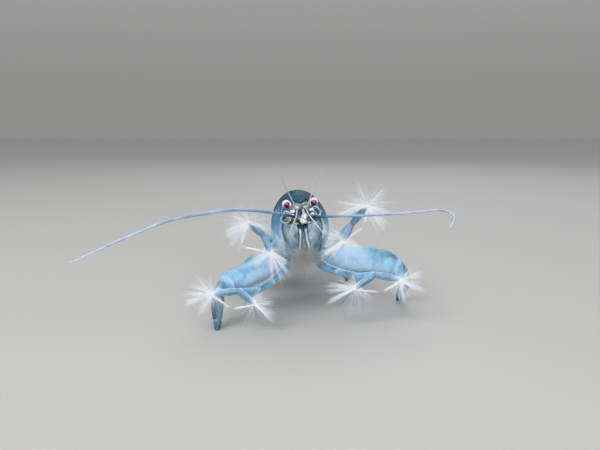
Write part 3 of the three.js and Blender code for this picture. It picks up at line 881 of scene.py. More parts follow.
    def plate(self, columns: int, rows: int, place: Place, outward: Vector) -> list[BMVert]:
        """Adds an open sheet, for a shell that gets its thickness later.

        Args:
            columns: Faces across it.
            rows: Faces along it.
            place: Gives a point from two shares, 0 to 1.
            outward: A direction on the side that its faces look to, on the whole.

        Returns:
            Its points.
        """
        verts = bmesh.ops.create_grid(self.bm, x_segments=columns, y_segments=rows, size=1)["verts"]
        for vert in verts:
            vert.co = place((vert.co.x + 1) / 2, (vert.co.y + 1) / 2)
        faces = self.faces_of(verts)
        facing = Vector()
        for face in faces:
            face.normal_update()
            facing += face.normal * face.calc_area()
        if facing.dot(outward) < 0:
            bmesh.ops.reverse_faces(self.bm, faces=faces)
        return list(verts)

    def finish(
        self, finishes: Sequence[bpy.types.Material], slot: Slot, replaces: Sequence[str] = (),
        thickness: float = 0,
    ) -> None:
        """Turns the mesh into a finished object that rides on the model.

        Args:
            finishes: Its materials, in the order of their numbers.
            slot: The record's material slot; not used.
            replaces: The solids that it stands for.
            thickness: How thick the shell of an open sheet is. A piece without it is closed already.
        """
        if self.strands:
            self.plant()
        if not thickness:
            bmesh.ops.recalc_face_normals(self.bm, faces=self.bm.faces)
        bmesh.ops.transform(self.bm, matrix=self.space, verts=self.bm.verts)
        for face in self.bm.faces:
            face.smooth = True
        mesh = bpy.data.meshes.new(self.name)
        self.bm.to_mesh(mesh)
        self.bm.free()
        for made in finishes:
            mesh.materials.append(made)
        piece = new_object(self.name, mesh)
        if thickness:
            wall = piece.modifiers.new("wall", "SOLIDIFY")
            wall.thickness = thickness * MM
            wall.offset = -1
            wall.use_even_offset = False
        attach(piece, "root")
        if replaces:
            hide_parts(*replaces)
        LOG.info("%s: %d faces", self.name, len(mesh.polygons))


@dataclass
class Part:
    """Some of the animal's pieces, with the frames and the finishes that they are made in."""

    frames: Frames
    palette: Palette


# ------ carapace
@dataclass
class Carapace(Part):
    """The shield over the head and thorax, drawn out to a flat rostrum between the eyes."""

    reach: float = 138.6  # how far round it comes from the top, in degrees
    thickness: float = 0.4
    columns: int = 150
    rows: int = 84
    # Where its front and back margins lie, by degrees from the top: rostrum, orbit, spine, corner.
    front: Table = (
        (0, -4), (4, -3.2), (12, -1.75), (22, 0.3), (28, 1.35), (39, 1.9), (50, 1.35), (58, 0.1), (64, -0.75),
        (68, -1.3), (72, -0.7), (80, -0.4), (100, -0.45), (116, -0.1), (128, 0.9), (138.6, 3.2),
    )
    back: Table = ((0, 27.1), (60, 27.4), (100, 27), (122, 25.6), (138.6, 22.5))
    groove: Table = ((0, 13.4), (30, 12.8), (60, 10.8), (80, 8.6), (100, 6.6), (138.6, 5))

    def edges(self, degrees: float, share: float) -> tuple[float, float]:
        """The place along the body and the distance to the nearest margin, in millimetres.

        Args:
            degrees: Place round the body, from the top.
            share: Share of the way from front to back.

        Returns:
            Both lengths.
        """
        off = abs(degrees)
        front, back = curve(self.front, 1, off), curve(self.back, 1, off)
        y = mix(front, back, share)
        return y, min(y - front, back - y, (self.reach - off) * 0.125)

    def relief(self, degrees: float, y: float, edge: float, x: float) -> float:
        """How far the shell stands out: bead, grooves, keels and gentle waves.

        Args:
            degrees: Place round the body, from the top.
            y: Place along the body.
            edge: Distance to the nearest margin.
            x: Place across.

        Returns:
            The height.
        """
        off = abs(degrees)
        height = 0.13 * bell(edge, 0.25, 0.28)
        groove = curve(self.groove, 1, off)
        height -= 0.26 * bell(y, groove, 0.75) * ease((112 - off) / 24)
        height += 0.1 * bell(y, groove + 1.5, 1.3) * ease((112 - off) / 24)
        height -= 0.13 * bell(off, 62 + 0.9 * (y - 14), 4) * ease((y - 13) / 3) * ease((25.5 - y) / 3)
        height -= 0.15 * bell(y, 6, 1.6) * bell(off, 86, 13)
        height += 0.17 * bell(x, 0, 0.38) * ease((6.5 - y) / 5)
        wave = noise.noise(Vector((x * 0.35, y * 0.3, degrees * 0.03)))
        return height + 0.07 * wave * ease(edge / 1.5)

    @staticmethod
    def shell_point(degrees: float, y: float, inset: float = 0) -> Vector:
        """A point of the smooth shell.

        Args:
            degrees: Place round the body, from the top.
            y: Place along the body.
            inset: How far inside it, as a share of its radius.

        Returns:
            The point.
        """
        turn = radians(degrees)
        at = trunk_point(CARAPACE, sin(turn) * (1 - inset), cos(turn) * (1 - inset), y)
        half, middle, thick = (curve(ROSTRUM, column, y) for column in (1, 2, 3))
        flat = ease((1.4 - y) / 2.2) * ease((30 - abs(degrees)) / 8)
        arch = middle + thick * (0.25 + 0.75 * (1 - clamp01(abs(at.x) / half) ** 2)) - 6 * inset
        at.z = mix(at.z, arch, flat)
        return at

    def point(self, across: float, share: float) -> tuple[Vector, float, float, float]:
        """A point of the shield.

        Args:
            across: Share of the way across.
            share: Share of the way from front to back.

        Returns:
            The point, its degrees from the top, its place along and its distance to the margin.
        """
        degrees = (2 * across - 1) * self.reach
        y, edge = self.edges(degrees, share**1.2)
        turn = radians(degrees)
        at = self.shell_point(degrees, y)
        wide, up = curve(CARAPACE, 1, y), curve(CARAPACE, 2, y)
        outward = Vector((sin(turn) * up, 0, cos(turn) * wide)).normalized()
        return at + outward * self.relief(degrees, y, edge, at.x), degrees, y, edge

    def paint(self, degrees: float, y: float, edge: float) -> tuple[float, float]:
        """What is painted at a place: dark above, paler down the sides and along the rim.

        Args:
            degrees: Place round the body, from the top.
            y: Place along the body.
            edge: Distance to the nearest margin.

        Returns:
            Shade and tint.
        """
        off = abs(degrees)
        shade = curve(((0, 0.05), (30, 0.1), (60, 0.36), (90, 0.67), (115, 0.85), (138.6, 0.9)), 1, off)
        shade += 0.12 * bell(y, 21, 5) * bell(off, 88, 26)
        # Painted shade: darker along the groove.
        shade -= 0.1 * bell(y, curve(self.groove, 1, off), 1)
        shade += 0.16 * bell(off, 0, 7) * ease((y - 3) / 6)
        wall = ease((13 - y) / 8)
        # The animal's left wall (x > 0) is painted paler: partly its own pale blue, partly painted light from
        # the side that gets more light.
        if degrees > 0:
            shade = mix(shade, 0.92, 0.9 * bell(off, 102, 27) * wall)
            tint = 0
        else:
            shade += 0.1 * wall
            tint = 0.45 * bell(off, 74, 20) * wall
        rim = bell(edge, 0.1, 0.22) * ease((off - 24) / 12)
        return mix(shade, 0.86, 0.8 * rim), tint * (1 - rim)

    def build(self) -> None:
        """Models and finishes the shield."""
        mesh = PieceMesh("carapace_shell", self.frames.trunk)
        painted: dict[tuple[float, float, float], tuple[float, float]] = {}

        def place(across: float, share: float) -> Vector:
            """A point of the sheet, whose paint is noted."""
            at, degrees, y, edge = self.point(across, share)
            painted[at.to_tuple(5)] = self.paint(degrees, y, edge)
            return at

        for vert in mesh.plate(self.columns, self.rows, place, UP):
            vert[mesh.shade], vert[mesh.tint] = painted[vert.co.to_tuple(5)]
        mesh.finish([self.palette.carapace], Slot.CARAPACE, ["carapace"], self.thickness)


# ------ body and face
@dataclass
class Thorax(Part):
    """The body inside the shield, with the face in relief at its front and the hips beneath."""

    face_half_width: float = 5.5
    face_low: float = 14.6
    face_high: float = 27.55
    cheek_x: float = 2.95
    cheek_z: float = 19.5
    cheek_half: Row = (2, 3.6)
    rim: Row = (5.35, 7, 6.3)  # half width, height above and below z = 21 of the front opening
    smudge: Row = (-1.75, 20.1)
    orbit_reach: float = 178  # how far round the skin behind the eyes goes, in degrees
    hips: Table = (
        (3.1, 5.2, 14.6, 1.5), (3, 8.2, 13.5, 1.55), (3.1, 11, 13.4, 1.9), (3, 15.2, 13.1, 1.5),
        (2.9, 18.9, 12.7, 1.4),
    )
    ridge: Table = (
        (0.5, -2.8, 26.5, 0.3), (0.55, -3.6, 25.7, 0.42), (0.6, -3.8, 25.2, 0.62), (0.5, -3.3, 24.4, 0.8),
    )
    # The small knobs beside the ridge: middle, size and shade. Their near-white is partly painted highlight
    # of a wet surface, and they are painted darker beneath as painted shade.
    knobs: Table = ((1.3, -3, 24.3, 0.5, 0.95), (2.2, -2.7, 26, 0.7, 0.9), (2.3, -2.9, 25.1, 0.5, 0.98))

    def sections(self) -> list[Row]:
        """Sections close together over the front of the body.

        Returns:
            Their place, sizes, axis and the lean of up.
        """
        found = []
        for step in range(114):
            y = -2.3 + step * 0.1
            wide, above, below = (curve(THORAX, column, y) for column in (1, 2, 3))
            lean = AXIS_SLOPE / hypot(1, AXIS_SLOPE)
            found.append((y, wide, above, below, axis_height(y), lean))
        return found

    @staticmethod
    def front(sections: Sequence[Row], x: float, z: float) -> float:
        """How far forward the body's skin lies at a place seen from the front.

        Args:
            sections: The sections.
            x: Place across.
            z: Height.

        Returns:
            Its y.
        """
        before = 0
        for y, wide, above, below, axis, lean in sections:
            high = (z - axis) / sqrt(1 - lean * lean)
            beyond = (x / wide) ** 2 + (high / (above if high > 0 else below)) ** 2 - 1
            if beyond <= 0:
                share = before / (before - beyond) if before > 0 else 0
                return y - 0.1 * (1 - share) * (before > 0) + high * lean
            before = beyond
        return sections[-1][0]

    def cheek(self, x: float, z: float) -> float:
        """Place on a cheek plate: under 1 inside its edge."""
        across = abs(abs(x) - self.cheek_x) / self.cheek_half[0]
        return (across**4 + (abs(z - self.cheek_z) / self.cheek_half[1]) ** 4) ** 0.25

    def relief(self, x: float, z: float) -> float:
        """How far the face stands forward of the body's skin.

        Args:
            x: Place across.
            z: Height.

        Returns:
            The height of its relief.
        """
        cheek = self.cheek(x, z)
        height = 0.85 * ease((1.14 - cheek) / 0.3)
        height += (0.12 * bell(cheek, 0.86, 0.1) - 0.3 * bell(cheek, 1.22, 0.1)) * ease((z - 16.2) / 2)
        height -= 1.2 * bell(x, 0.1, 0.85) * ease((22.6 - z) / 1.2) * ease((z - 18.6) / 2.2)
        height += 0.35 * bell(z, 24.6, 0.6) * bell(abs(x), 2.6, 1.4)
        height -= 0.3 * bell(z, 23.6, 0.35)
        return height + 0.1 * noise.noise(Vector((x, z, 0)) * 0.9)

    def paint(self, x: float, z: float) -> tuple[float, float]:
        """What is painted on the face at a place.

        Args:
            x: Place across.
            z: Height.

        Returns:
            Shade and tint.
        """
        cheek = self.cheek(x, z)
        around = mix(0.34, 0.64, max(ease((20.5 - z) / 3), 0.6 * ease((abs(x) - 4.5) / 0.5)))
        shade = mix(around, 0.585, ease((1.08 - cheek) / 0.16))
        shade += 0.1 * bell(cheek, 0.9, 0.07) + 0.08 * bell(x, self.cheek_x, 1.2)
        # Painted shade: dark in the hollow of the mouth between the jaws.
        shade = mix(shade, 0.08, bell(x, 0.15, 0.75) * ease((22.4 - z) / 1) * ease((z - 19.9) / 0.8))
        shade = mix(shade, 0.84, bell(x, 0.15, 0.7) * ease((20.2 - z) / 0.8))
        shade = mix(shade, mix(0.48, 0.39, ease((z - 24.8) / 1.2)), ease((z - 23.2) / 0.8))
        shade += 0.16 * noise.noise(Vector((x * 2.4, z * 0.4, 7))) * ease((z - 24.4) / 0.8)
        shade = mix(shade, 0.66, ease((17 - z) / 1.5))
        tint = 0.85 * bell(x, self.smudge[0], 0.42) * bell(z, self.smudge[1], 0.85)
        tint += 0.4 * bell(x, 2.3, 0.35) * bell(z, 18.6, 0.4) + 0.35 * bell(x, 3.2, 0.5) * bell(z, 16.9, 0.4)
        return shade, min(tint, 0.9)

    def build_body(self, mesh: PieceMesh) -> None:
        """Adds the long body and its hips.

        Args:
            mesh: The piece.
        """
        first, last = THORAX[0][0], CARAPACE_END - GAP

        def place(angle: float, along: float) -> Vector:
            """A point of the body, rounded off in front."""
            full = 1 - 0.3 * ease((along - 0.76) / 0.2) if 0 < along < 1 else 0
            y = mix(first, last, along)
            return trunk_point(THORAX, cos(angle) * full, sin(angle) * full, y)

        marks = [0, 0.001, *(i / 30 for i in range(1, 30)), 0.999, 1]
        mesh.tube(40, marks, place, shade=lambda angle, along: 0.42 - 0.2 * sin(angle))
        for side in Side:
            for row in self.hips:
                centre = Vector((row[0] * side.value, row[1], row[2] - 0.2))
                mesh.ball(centre, (row[3], row[3] * 0.85, row[3] * 0.9), shade=0.5, sides=16)

    def build_face(self, mesh: PieceMesh) -> None:
        """Adds the face in relief.

        Args:
            mesh: The piece.
        """
        sections = self.sections()

        def skin(x: float, z: float) -> Vector:
            """The face's surface at a place seen from the front."""
            depth = self.front(sections, x, z) - self.relief(x, z) - 0.02
            out = hypot(x / self.rim[0], (z - 21) / self.rim[1 if z > 21 else 2])
            brow = bell(x, 0, 2.6) * ease((z - 24.6) / 1.6)
            return Vector((x, mix(min(depth, mix(0.5, 3, ease((out - 0.94) / 0.1))), -2.7, brow), z))

        def place(across: float, share: float) -> Vector:
            """A point of the face."""
            z = mix(self.face_low, self.face_high, share)
            high = (z - 21) / self.rim[1 if z > 21 else 2]
            return skin((2 * across - 1) * self.face_half_width * sqrt(max(0.06, 1 - high * high)), z)

        def orbit(across: float, share: float) -> Vector:
            """A point of the skin that closes the way from the face to the shield's edge, behind the eyes."""
            degrees = (2 * across - 1) * self.orbit_reach
            turn = radians(degrees)
            height = self.rim[1 if cos(turn) > 0 else 2] * 0.88
            inner = skin(sin(turn) * self.rim[0] * 0.88, 21 + cos(turn) * height)
            margin = max(curve(Carapace.front, 1, abs(degrees)) + 0.2, -2.5)
            outer = Carapace.shell_point(degrees, margin, 0.035)
            return inner.lerp(outer, share) - Vector((0, 0.25 * sin(pi * share), 0))

        for columns, rows, where in ((84, 96, place), (190, 12, orbit)):
            verts = mesh.plate(columns, rows, where, AHEAD)
            for vert in verts:
                vert[mesh.shade], vert[mesh.tint] = self.paint(vert.co.x, vert.co.z)
            bmesh.ops.solidify(mesh.bm, geom=mesh.faces_of(verts), thickness=0.25)

    def build_mouth(self, mesh: PieceMesh) -> None:
        """Adds the bright boss between the feelers, whose white is partly painted highlight, the ridged lip
        and the dark jaws under it.

        Args:
            mesh: The piece.
        """

        def ridge_shade(angle: float, along: float) -> float:
            """White, partly a painted highlight of the wet face, with a dark ring round its crest."""
            return 0.92 - 0.6 * bell(hypot(cos(angle) * 0.9, (along - 0.46) * 4), 0.55, 0.16)

        mesh.segment(Limb(self.ridge), 0, 3, sides=28, count=30, cap=0.15, shade=ridge_shade)
        # A small ball painted pure white: a painted highlight.
        mesh.ball(Vector((0.72, -4.25, 24.55)), (0.36, 0.35, 0.34), shade=1)
        for side in Side:
            # Each knob: painted highlight on top, painted shade beneath.
            for x, y, z, size, tone in self.knobs:
                mesh.ball(
                    Vector((x * side.value + 0.2, y, z)), (size, size * 0.7, size * 0.7),
                    shade=lambda angle, along: tone - 0.5 * ease(-sin(angle)),
                )
        mesh.ball(
            Vector((0.3, -3.1, 23.75)), (0.95, 0.65, 0.8), 28, material=1,
            shade=lambda angle, along: 0.84 + 0.1 * sin(18 * sin(angle) * sin(pi * along)),
        )
        for side in Side:
            jaw = Vector((0.58 * side.value, -2.75, 21.75))
            mesh.ball(jaw, (0.5, 0.6, 0.95), shade=0.04)
            # The flaps are painted pale on top and dark beneath: painted light and shade.
            flap = Vector((1.5 * side.value, -2.1, 22.9))
            mesh.ball(flap, (0.9, 0.5, 0.42), shade=lambda angle, along: 0.5 + 0.35 * sin(angle))

    def build(self) -> None:
        """Models and finishes body and face."""
        mesh = PieceMesh("body_and_face", self.frames.trunk)
        self.build_face(mesh)
        self.build_body(mesh)
        self.build_mouth(mesh)
        mesh.finish([self.palette.face, self.palette.feeler_base], Slot.FACE, ["thorax"])


@dataclass
class Eyes(Part):
    """The eyes on their stalks."""

    stalk: Table = ((0.7, 0.5, 26.6, 0.8), (1.9, 0.1, 27.15, 0.7), (2.9, 0, 27.5, 0.72))
    gaze: Table = ((-0.14, -1, -0.12), (0.16, -1, -0.14))  # of the left and the right eye

    def build(self) -> None:
        """Models and finishes both eyes and stalks."""
        for side in Side:
            centre = Vector((EYE_CENTRE.x * side.value, EYE_CENTRE.y, EYE_CENTRE.z))
            gaze = Vector(side.pick(self.gaze)).normalized()
            mesh = PieceMesh(f"eye_{side.word}_cornea", self.frames.trunk)
            for vert in mesh.ball(centre, (EYE_RADIUS, EYE_RADIUS, EYE_RADIUS), sides=48):
                away = (vert.co - centre).normalized()
                turn = acos(max(-1, min(1, away.dot(gaze))))
                ring = ease((turn - 0.64) / 0.22)
                white = 0.52 + 0.2 * ease(away.z + 0.5) - 0.22 * ease((turn - 1.2) / 0.35)
                vert[mesh.shade] = 0.12 + white * ring + 0.06 * bell(turn, 0.35, 0.12)
                # A red glint painted beside the pupil, the same way on both eyes: a painted highlight.
                spot = (away - (gaze + Vector((0.22, 0, 0.08)))).length
                vert[mesh.tint] = 0.55 * bell(spot, 0, 0.17)
            mesh.finish([self.palette.eye], Slot.EYE, [f"eye_{side.word}"])

            mesh = PieceMesh(f"eyestalk_{side.word}_sleeve", self.frames.trunk)
            mesh.segment(
                Limb(on_side(self.stalk, side)), 0, 1.75, cap=0.12,
                swell=lambda _, along: 0.86 + 0.22 * bell(along, 0.93, 0.12) - 0.12 * bell(along, 0.6, 0.2),
                shade=lambda turn, along: 0.5 + 0.25 * (sin(6 * along + 2 * turn) + bell(along, 0.95, 0.1)),
                tint=lambda _, along: 0.5 * bell(along, 0.55, 0.3),
            )
            mesh.finish([self.palette.feeler_base], Slot.FACE, [f"eyestalk_{side.word}"])


# ------ feelers
@dataclass
class Feelers(Part):
    """Both pairs of feelers: jointed stems, cupped scales, short whips and long whips."""

    antennule_stem: Table = (
        (0.9, -0.6, 25.6, 0.75), (1, -2.2, 26.15, 0.72), (1.05, -3.4, 26.55, 0.62), (1.1, -4.5, 26.9, 0.62),
    )
    antennule_upper: Table = (
        (1.35, -4.9, 27.05, 0.18), (2.1, -6.3, 29.2, 0.16), (3.4, -9.1, 32.6, 0.12), (4.6, -12, 36, 0.06),
    )
    antennule_lower: Table = (
        (1.15, -4.95, 26.5, 0.18), (1.4, -7.3, 25.75, 0.16), (2.5, -9.9, 24.1, 0.13),
        (3.35, -11.4, 22.9, 0.11), (4, -12.9, 21.75, 0.06),
    )
    antenna_stem: Table = (
        (2.3, -0.2, 23.4, 0.95), (1.75, -2, 23.9, 0.72), (1.4, -3.6, 24.4, 0.52), (1.25, -5.3, 24.85, 0.4),
    )
    # Each scale is a scoop that opens forwards: x and z of its mouth's middle, and its half width.
    scale_mouth: Table = ((3.5, 25.7, 1.1), (3.8, 24.95, 1.32))
    whips: tuple[Table, Table] = ((
        (1.7, -6, 25.15, 0.32), (6.3, -9.2, 25.6, 0.28), (14.8, -13, 26.4, 0.28), (23, -17, 27.5, 0.26),
        (29.2, -21, 28.6, 0.23), (30.3, -27, 28.2, 0.18), (28.2, -33, 27, 0.08),
    ), (
        (-0.8, -6, 25, 0.34), (-4, -8.5, 26, 0.33), (-13.2, -13.4, 27.7, 0.37), (-20.9, -18, 27.4, 0.35),
        (-27.4, -22.5, 26.5, 0.3), (-35.3, -29, 23.7, 0.24), (-42.8, -35, 20.6, 0.1),
    ))
    whip_join: float = 3.5
    whip_shades: Table = ((0, 0.1), (0.7, 0.22), (1.1, 0.48), (2.2, 0.66), (4, 0.8), (6, 0.92))
    antenna_rings: int = 62
    antennule_rings: int = 34
    joint_hairs: int = 12
    scale_hairs: int = 70

    def build_stems(self, side: Side) -> None:
        """Models the two jointed stems of one side.

        Args:
            side: The side.
        """
        limb = Limb(on_side(self.antennule_stem, side), (0, 0, 1))
        mesh = PieceMesh(f"antennule_{side.word}_joints", self.frames.trunk)
        for start, end in ((0, 1.02), (1.06, 2.02), (2.06, 3)):
            # A painted highlight: white over the upper half of each joint, with a purple tint on the lower
            # half.
            mesh.segment(
                limb, start, end, count=12, cap=0.12,
                swell=lambda angle, along: 0.78 + 0.14 * ease(along / 0.8) + 0.05 * bell(along, 0.9, 0.06),
                shade=lambda turn, along: (
                    0.34 + 0.64 * ease((sin(turn) + 0.1) / 0.6) * bell(along, 0.72, 0.3)
                ),
                tint=lambda angle, along: 0.55 * ease((0.2 - sin(angle)) / 0.6),
            )
            for turn in range(self.joint_hairs):
                root = limb.surface(end - 0.06, tau * turn / self.joint_hairs, 0.9)
                out = (root - limb.centre(end - 0.06)).normalized()
                way = (limb.frame(end)[1] * 0.8 + out * 0.5).normalized()
                mesh.strand(root, way, 0.4, 0.016, shades=(0.9, 0.8))
        spine = Vector((0.75 * side.value, -2.4, 0.1)).normalized()
        mesh.stud(limb.surface(0.55, 0 if side is Side.RIGHT else pi, 0.95), spine, 0.22, 4.5, 0.85, 0)
        mesh.finish([self.palette.feeler_base], Slot.FACE, [f"antennule_{side.word}_stem"])

        limb = Limb(on_side(self.antenna_stem, side), (0, 0, 1))
        mesh = PieceMesh(f"antenna_{side.word}_joints", self.frames.trunk)
        for start, end in ((0, 1.1), (1.13, 2.05), (2.08, 3)):
            # A painted highlight: a pale band along the upper side of each joint.
            mesh.segment(
                limb, start, end, count=12, cap=0.12,
                swell=lambda angle, along: 0.88 + 0.12 * ease(along) + 0.07 * bell(along, 0.9, 0.06),
                shade=lambda angle, along: 0.36 + 0.6 * bell(sin(angle), 0.7, 0.3) * bell(along, 0.55, 0.36),
            )
        mesh.finish([self.palette.feeler_base], Slot.FACE, [f"antenna_{side.word}_stem"])

    def build_scale(self, side: Side) -> None:
        """Models the scoop-shaped scale of one side, drawn out to a point on its outer edge.

        Args:
            side: The side.
        """
        x, z, radius = side.pick(self.scale_mouth)
        base = Vector((3.2, -0.5, 24.4))
        mouth = Vector((x, -2.9, z))
        # Share of the length, place from base to mouth, and half width.
        profile: Table = (
            (0, 0, 0), (0.04, 0, 0.5), (0.35, 0.55, 0.85), (0.55, 1, 1), (0.6, 1.03, 0.96),
            (0.66, 0.97, 0.87), (0.8, 0.86, 0.6), (1, 0.84, 0),
        )

        def place(angle: float, along: float) -> Vector:
            """A point of the scoop, for the left side."""
            onward, girth = curve(profile, 1, along), max(0, curve(profile, 2, along))
            outer = cos(angle - 0.6)
            drawn = 2.5 * max(0, outer) ** 3 * ease((onward - 0.45) / 0.5) * ease(girth / 0.9)
            at = base.lerp(mouth, onward) + Vector((0, -drawn, 0))
            spread = Vector((cos(angle), 0.25 * sin(angle), sin(angle) * 1.1)) * (radius * girth)
            point = at + spread * (1 - 0.1 * drawn)
            return Vector((point.x * side.value, point.y, point.z))

        def shade(angle: float, along: float) -> float:
            """Pale outside, white on the rim, dark and marked inside."""
            inside = ease((along - 0.63) / 0.05)
            marks = 0.3 * bell(along, 0.86, 0.05) * ease(sin(angle + 0.9) + 0.4)
            marks += 0.25 * bell(along, 0.69, 0.02)
            light = 0.4 * bell(along, 0.77, 0.03) * ease(cos(angle - 2.4) + 0.2)
            return mix(mix(0.5, 0.92, ease((along - 0.4) / 0.15)), 0.46 + light - marks, inside)

        mesh = PieceMesh(f"antenna_{side.word}_scoop", self.frames.trunk)
        marks = [0, 0.04, *(0.04 + 0.96 * i / 34 for i in range(1, 35))]
        mesh.tube(36, marks, place, shade)
        rng = random.Random(SEED + side.value)
        for turn in range(self.scale_hairs):
            angle = -1.9 + 3.6 * turn / (self.scale_hairs - 1)
            root = place(angle, 0.585)
            way = Vector((cos(angle) * 0.55 * side.value, -1, sin(angle) * 0.55)).normalized()
            mesh.strand(root, way, rng.uniform(0.6, 1), 0.02, shades=(0.95, 0.8))
        mesh.finish([self.palette.face], Slot.FACE, [f"antenna_{side.word}_scale"])

    @staticmethod
    def whip(mesh: PieceMesh, limb: Limb, ends: tuple[float, float], rings: int, shade: Paint) -> None:
        """Adds one length of a ringed whip.

        Args:
            mesh: The piece.
            limb: The whole whip.
            ends: Stations between which the length lies.
            rings: How many rings it has.
            shade: The shade painted on it.
        """
        mesh.segment(
            limb, *ends, sides=10, count=rings * 3, cap=0.012, shade=shade,
            swell=lambda angle, along: 1 + 0.035 * cos(tau * along * rings),
        )

    def build(self) -> None:
        """Models and finishes all feelers."""
        for side in Side:
            self.build_stems(side)
            self.build_scale(side)
            for kind, stations in (("upper", self.antennule_upper), ("lower", self.antennule_lower)):
                mesh = PieceMesh(f"antennule_{side.word}_{kind}_whip", self.frames.trunk)
                limb = Limb(on_side(stations, side))
                self.whip(
                    mesh, limb, (0, float(limb.last)), self.antennule_rings,
                    lambda angle, along: 0.62 + 0.3 * sin(angle),
                )
                mesh.finish([self.palette.antennule], Slot.FEELER, [f"antennule_{side.word}_{kind}"])
            limb = Limb(side.pick(self.whips))
            for kind, start, end in (
                ("base", 0, self.whip_join + 0.05), ("tip", self.whip_join - 0.05, float(limb.last)),
            ):
                mesh = PieceMesh(f"antenna_{side.word}_whip_{kind}_rings", self.frames.floor)

                def shade(angle: float, along: float) -> float:
                    """Navy at the root, paler outwards, with a painted highlight along one side."""
                    return curve(self.whip_shades, 1, mix(start, end, along)) + 0.1 * sin(angle)

                self.whip(mesh, limb, (start, end), self.antenna_rings, shade)
                mesh.finish([self.palette.whip], Slot.FEELER, [f"antenna_{side.word}_whip_{kind}"])


@dataclass
class MouthLegs(Part):
    """The pair of slim legs that hang in front of the mouth, and the cloud of fine hairs under it."""

    stations: Table = (
        (0.9, 0.6, 20.4, 0.6), (0.7, -2.6, 21.7, 0.5), (0.68, -3.5, 20.6, 0.42), (0.9, -3.7, 18.6, 0.44),
        (1.35, -3.4, 16.6, 0.34),
    )
    fringe: int = 1700  # hairs under the mouth
    edge_hairs: int = 70
    tip_hairs: int = 130

    def build(self) -> None:
        """Models and finishes both legs."""
        rng = random.Random(SEED + 7)
        for side in Side:
            mesh = PieceMesh(f"mouth_leg_{side.word}", self.frames.trunk)
            limb = Limb(on_side(self.stations, side), (1, 0, 0))
            for start, end in ((0, 1.05), (0.95, 2.3), (2.2, 3.22), (3.1, 4)):
                mesh.segment(
                    limb, start, end, cap=0.12,
                    swell=lambda angle, along: 0.9 + 0.1 * sin(pi * (0.2 + 0.7 * along)),
                    shade=lambda angle, along: mix(0.64, 0.08, ease((abs(sin(angle)) - 0.6) / 0.2)),
                )
            for _ in range(self.edge_hairs):
                station = rng.uniform(2.3, 3.95)
                angle = rng.choice((-1, 1)) * pi / 2 + rng.uniform(-0.3, 0.3)
                root = limb.surface(station, angle, 0.9)
                out = (root - limb.centre(station)).normalized()
                way = (out * 0.5 + limb.frame(station)[1] + Vector((0, -0.2, 0))).normalized()
                mesh.strand(root, way, rng.uniform(0.4, 0.8), 0.02, shades=(0.6, 0.5))
            for _ in range(self.tip_hairs):
                root = limb.surface(rng.uniform(3.3, 4), rng.uniform(0, tau), 0.8)
                way = Vector((rng.gauss(0.25 * side.value, 0.8), rng.uniform(-0.9, 0.2), -1)).normalized()
                sag = Vector((rng.gauss(0, 0.3), 0, -rng.uniform(0.1, 0.7)))
                mesh.strand(root, way, rng.uniform(0.8, 3.4), 0.017, sag, (0.8, 0.72))
            mesh.finish([self.palette.face], Slot.FACE, [f"maxilliped_{side.word}"])
        mesh = PieceMesh("mouth_fringe_hairs", self.frames.trunk, coat=True)
        for _ in range(self.fringe):
            x, z = rng.triangular(-3.9, 4.1, 0.1), rng.triangular(12.6, 17.7, 14.6)
            root = Vector((x, 0.25 * (16.6 - z) - 1.3 + 0.12 * x * x, z))
            way = Vector((rng.gauss(0.12 * x, 0.5), rng.uniform(-1, -0.1), -1)).normalized()
            sag = Vector((rng.gauss(0, 0.4), rng.gauss(0, 0.3), -rng.uniform(0, 0.8)))
            length, shades = rng.uniform(1.1, 5.4), (0.8, rng.uniform(0.2, 0.8))
            mesh.strand(root, way, length, 0.014, sag, shades, patch=(0.5 + 0.12 * x, (z - 12) / 6))
        mesh.finish([self.palette.fringe], Slot.FACE)


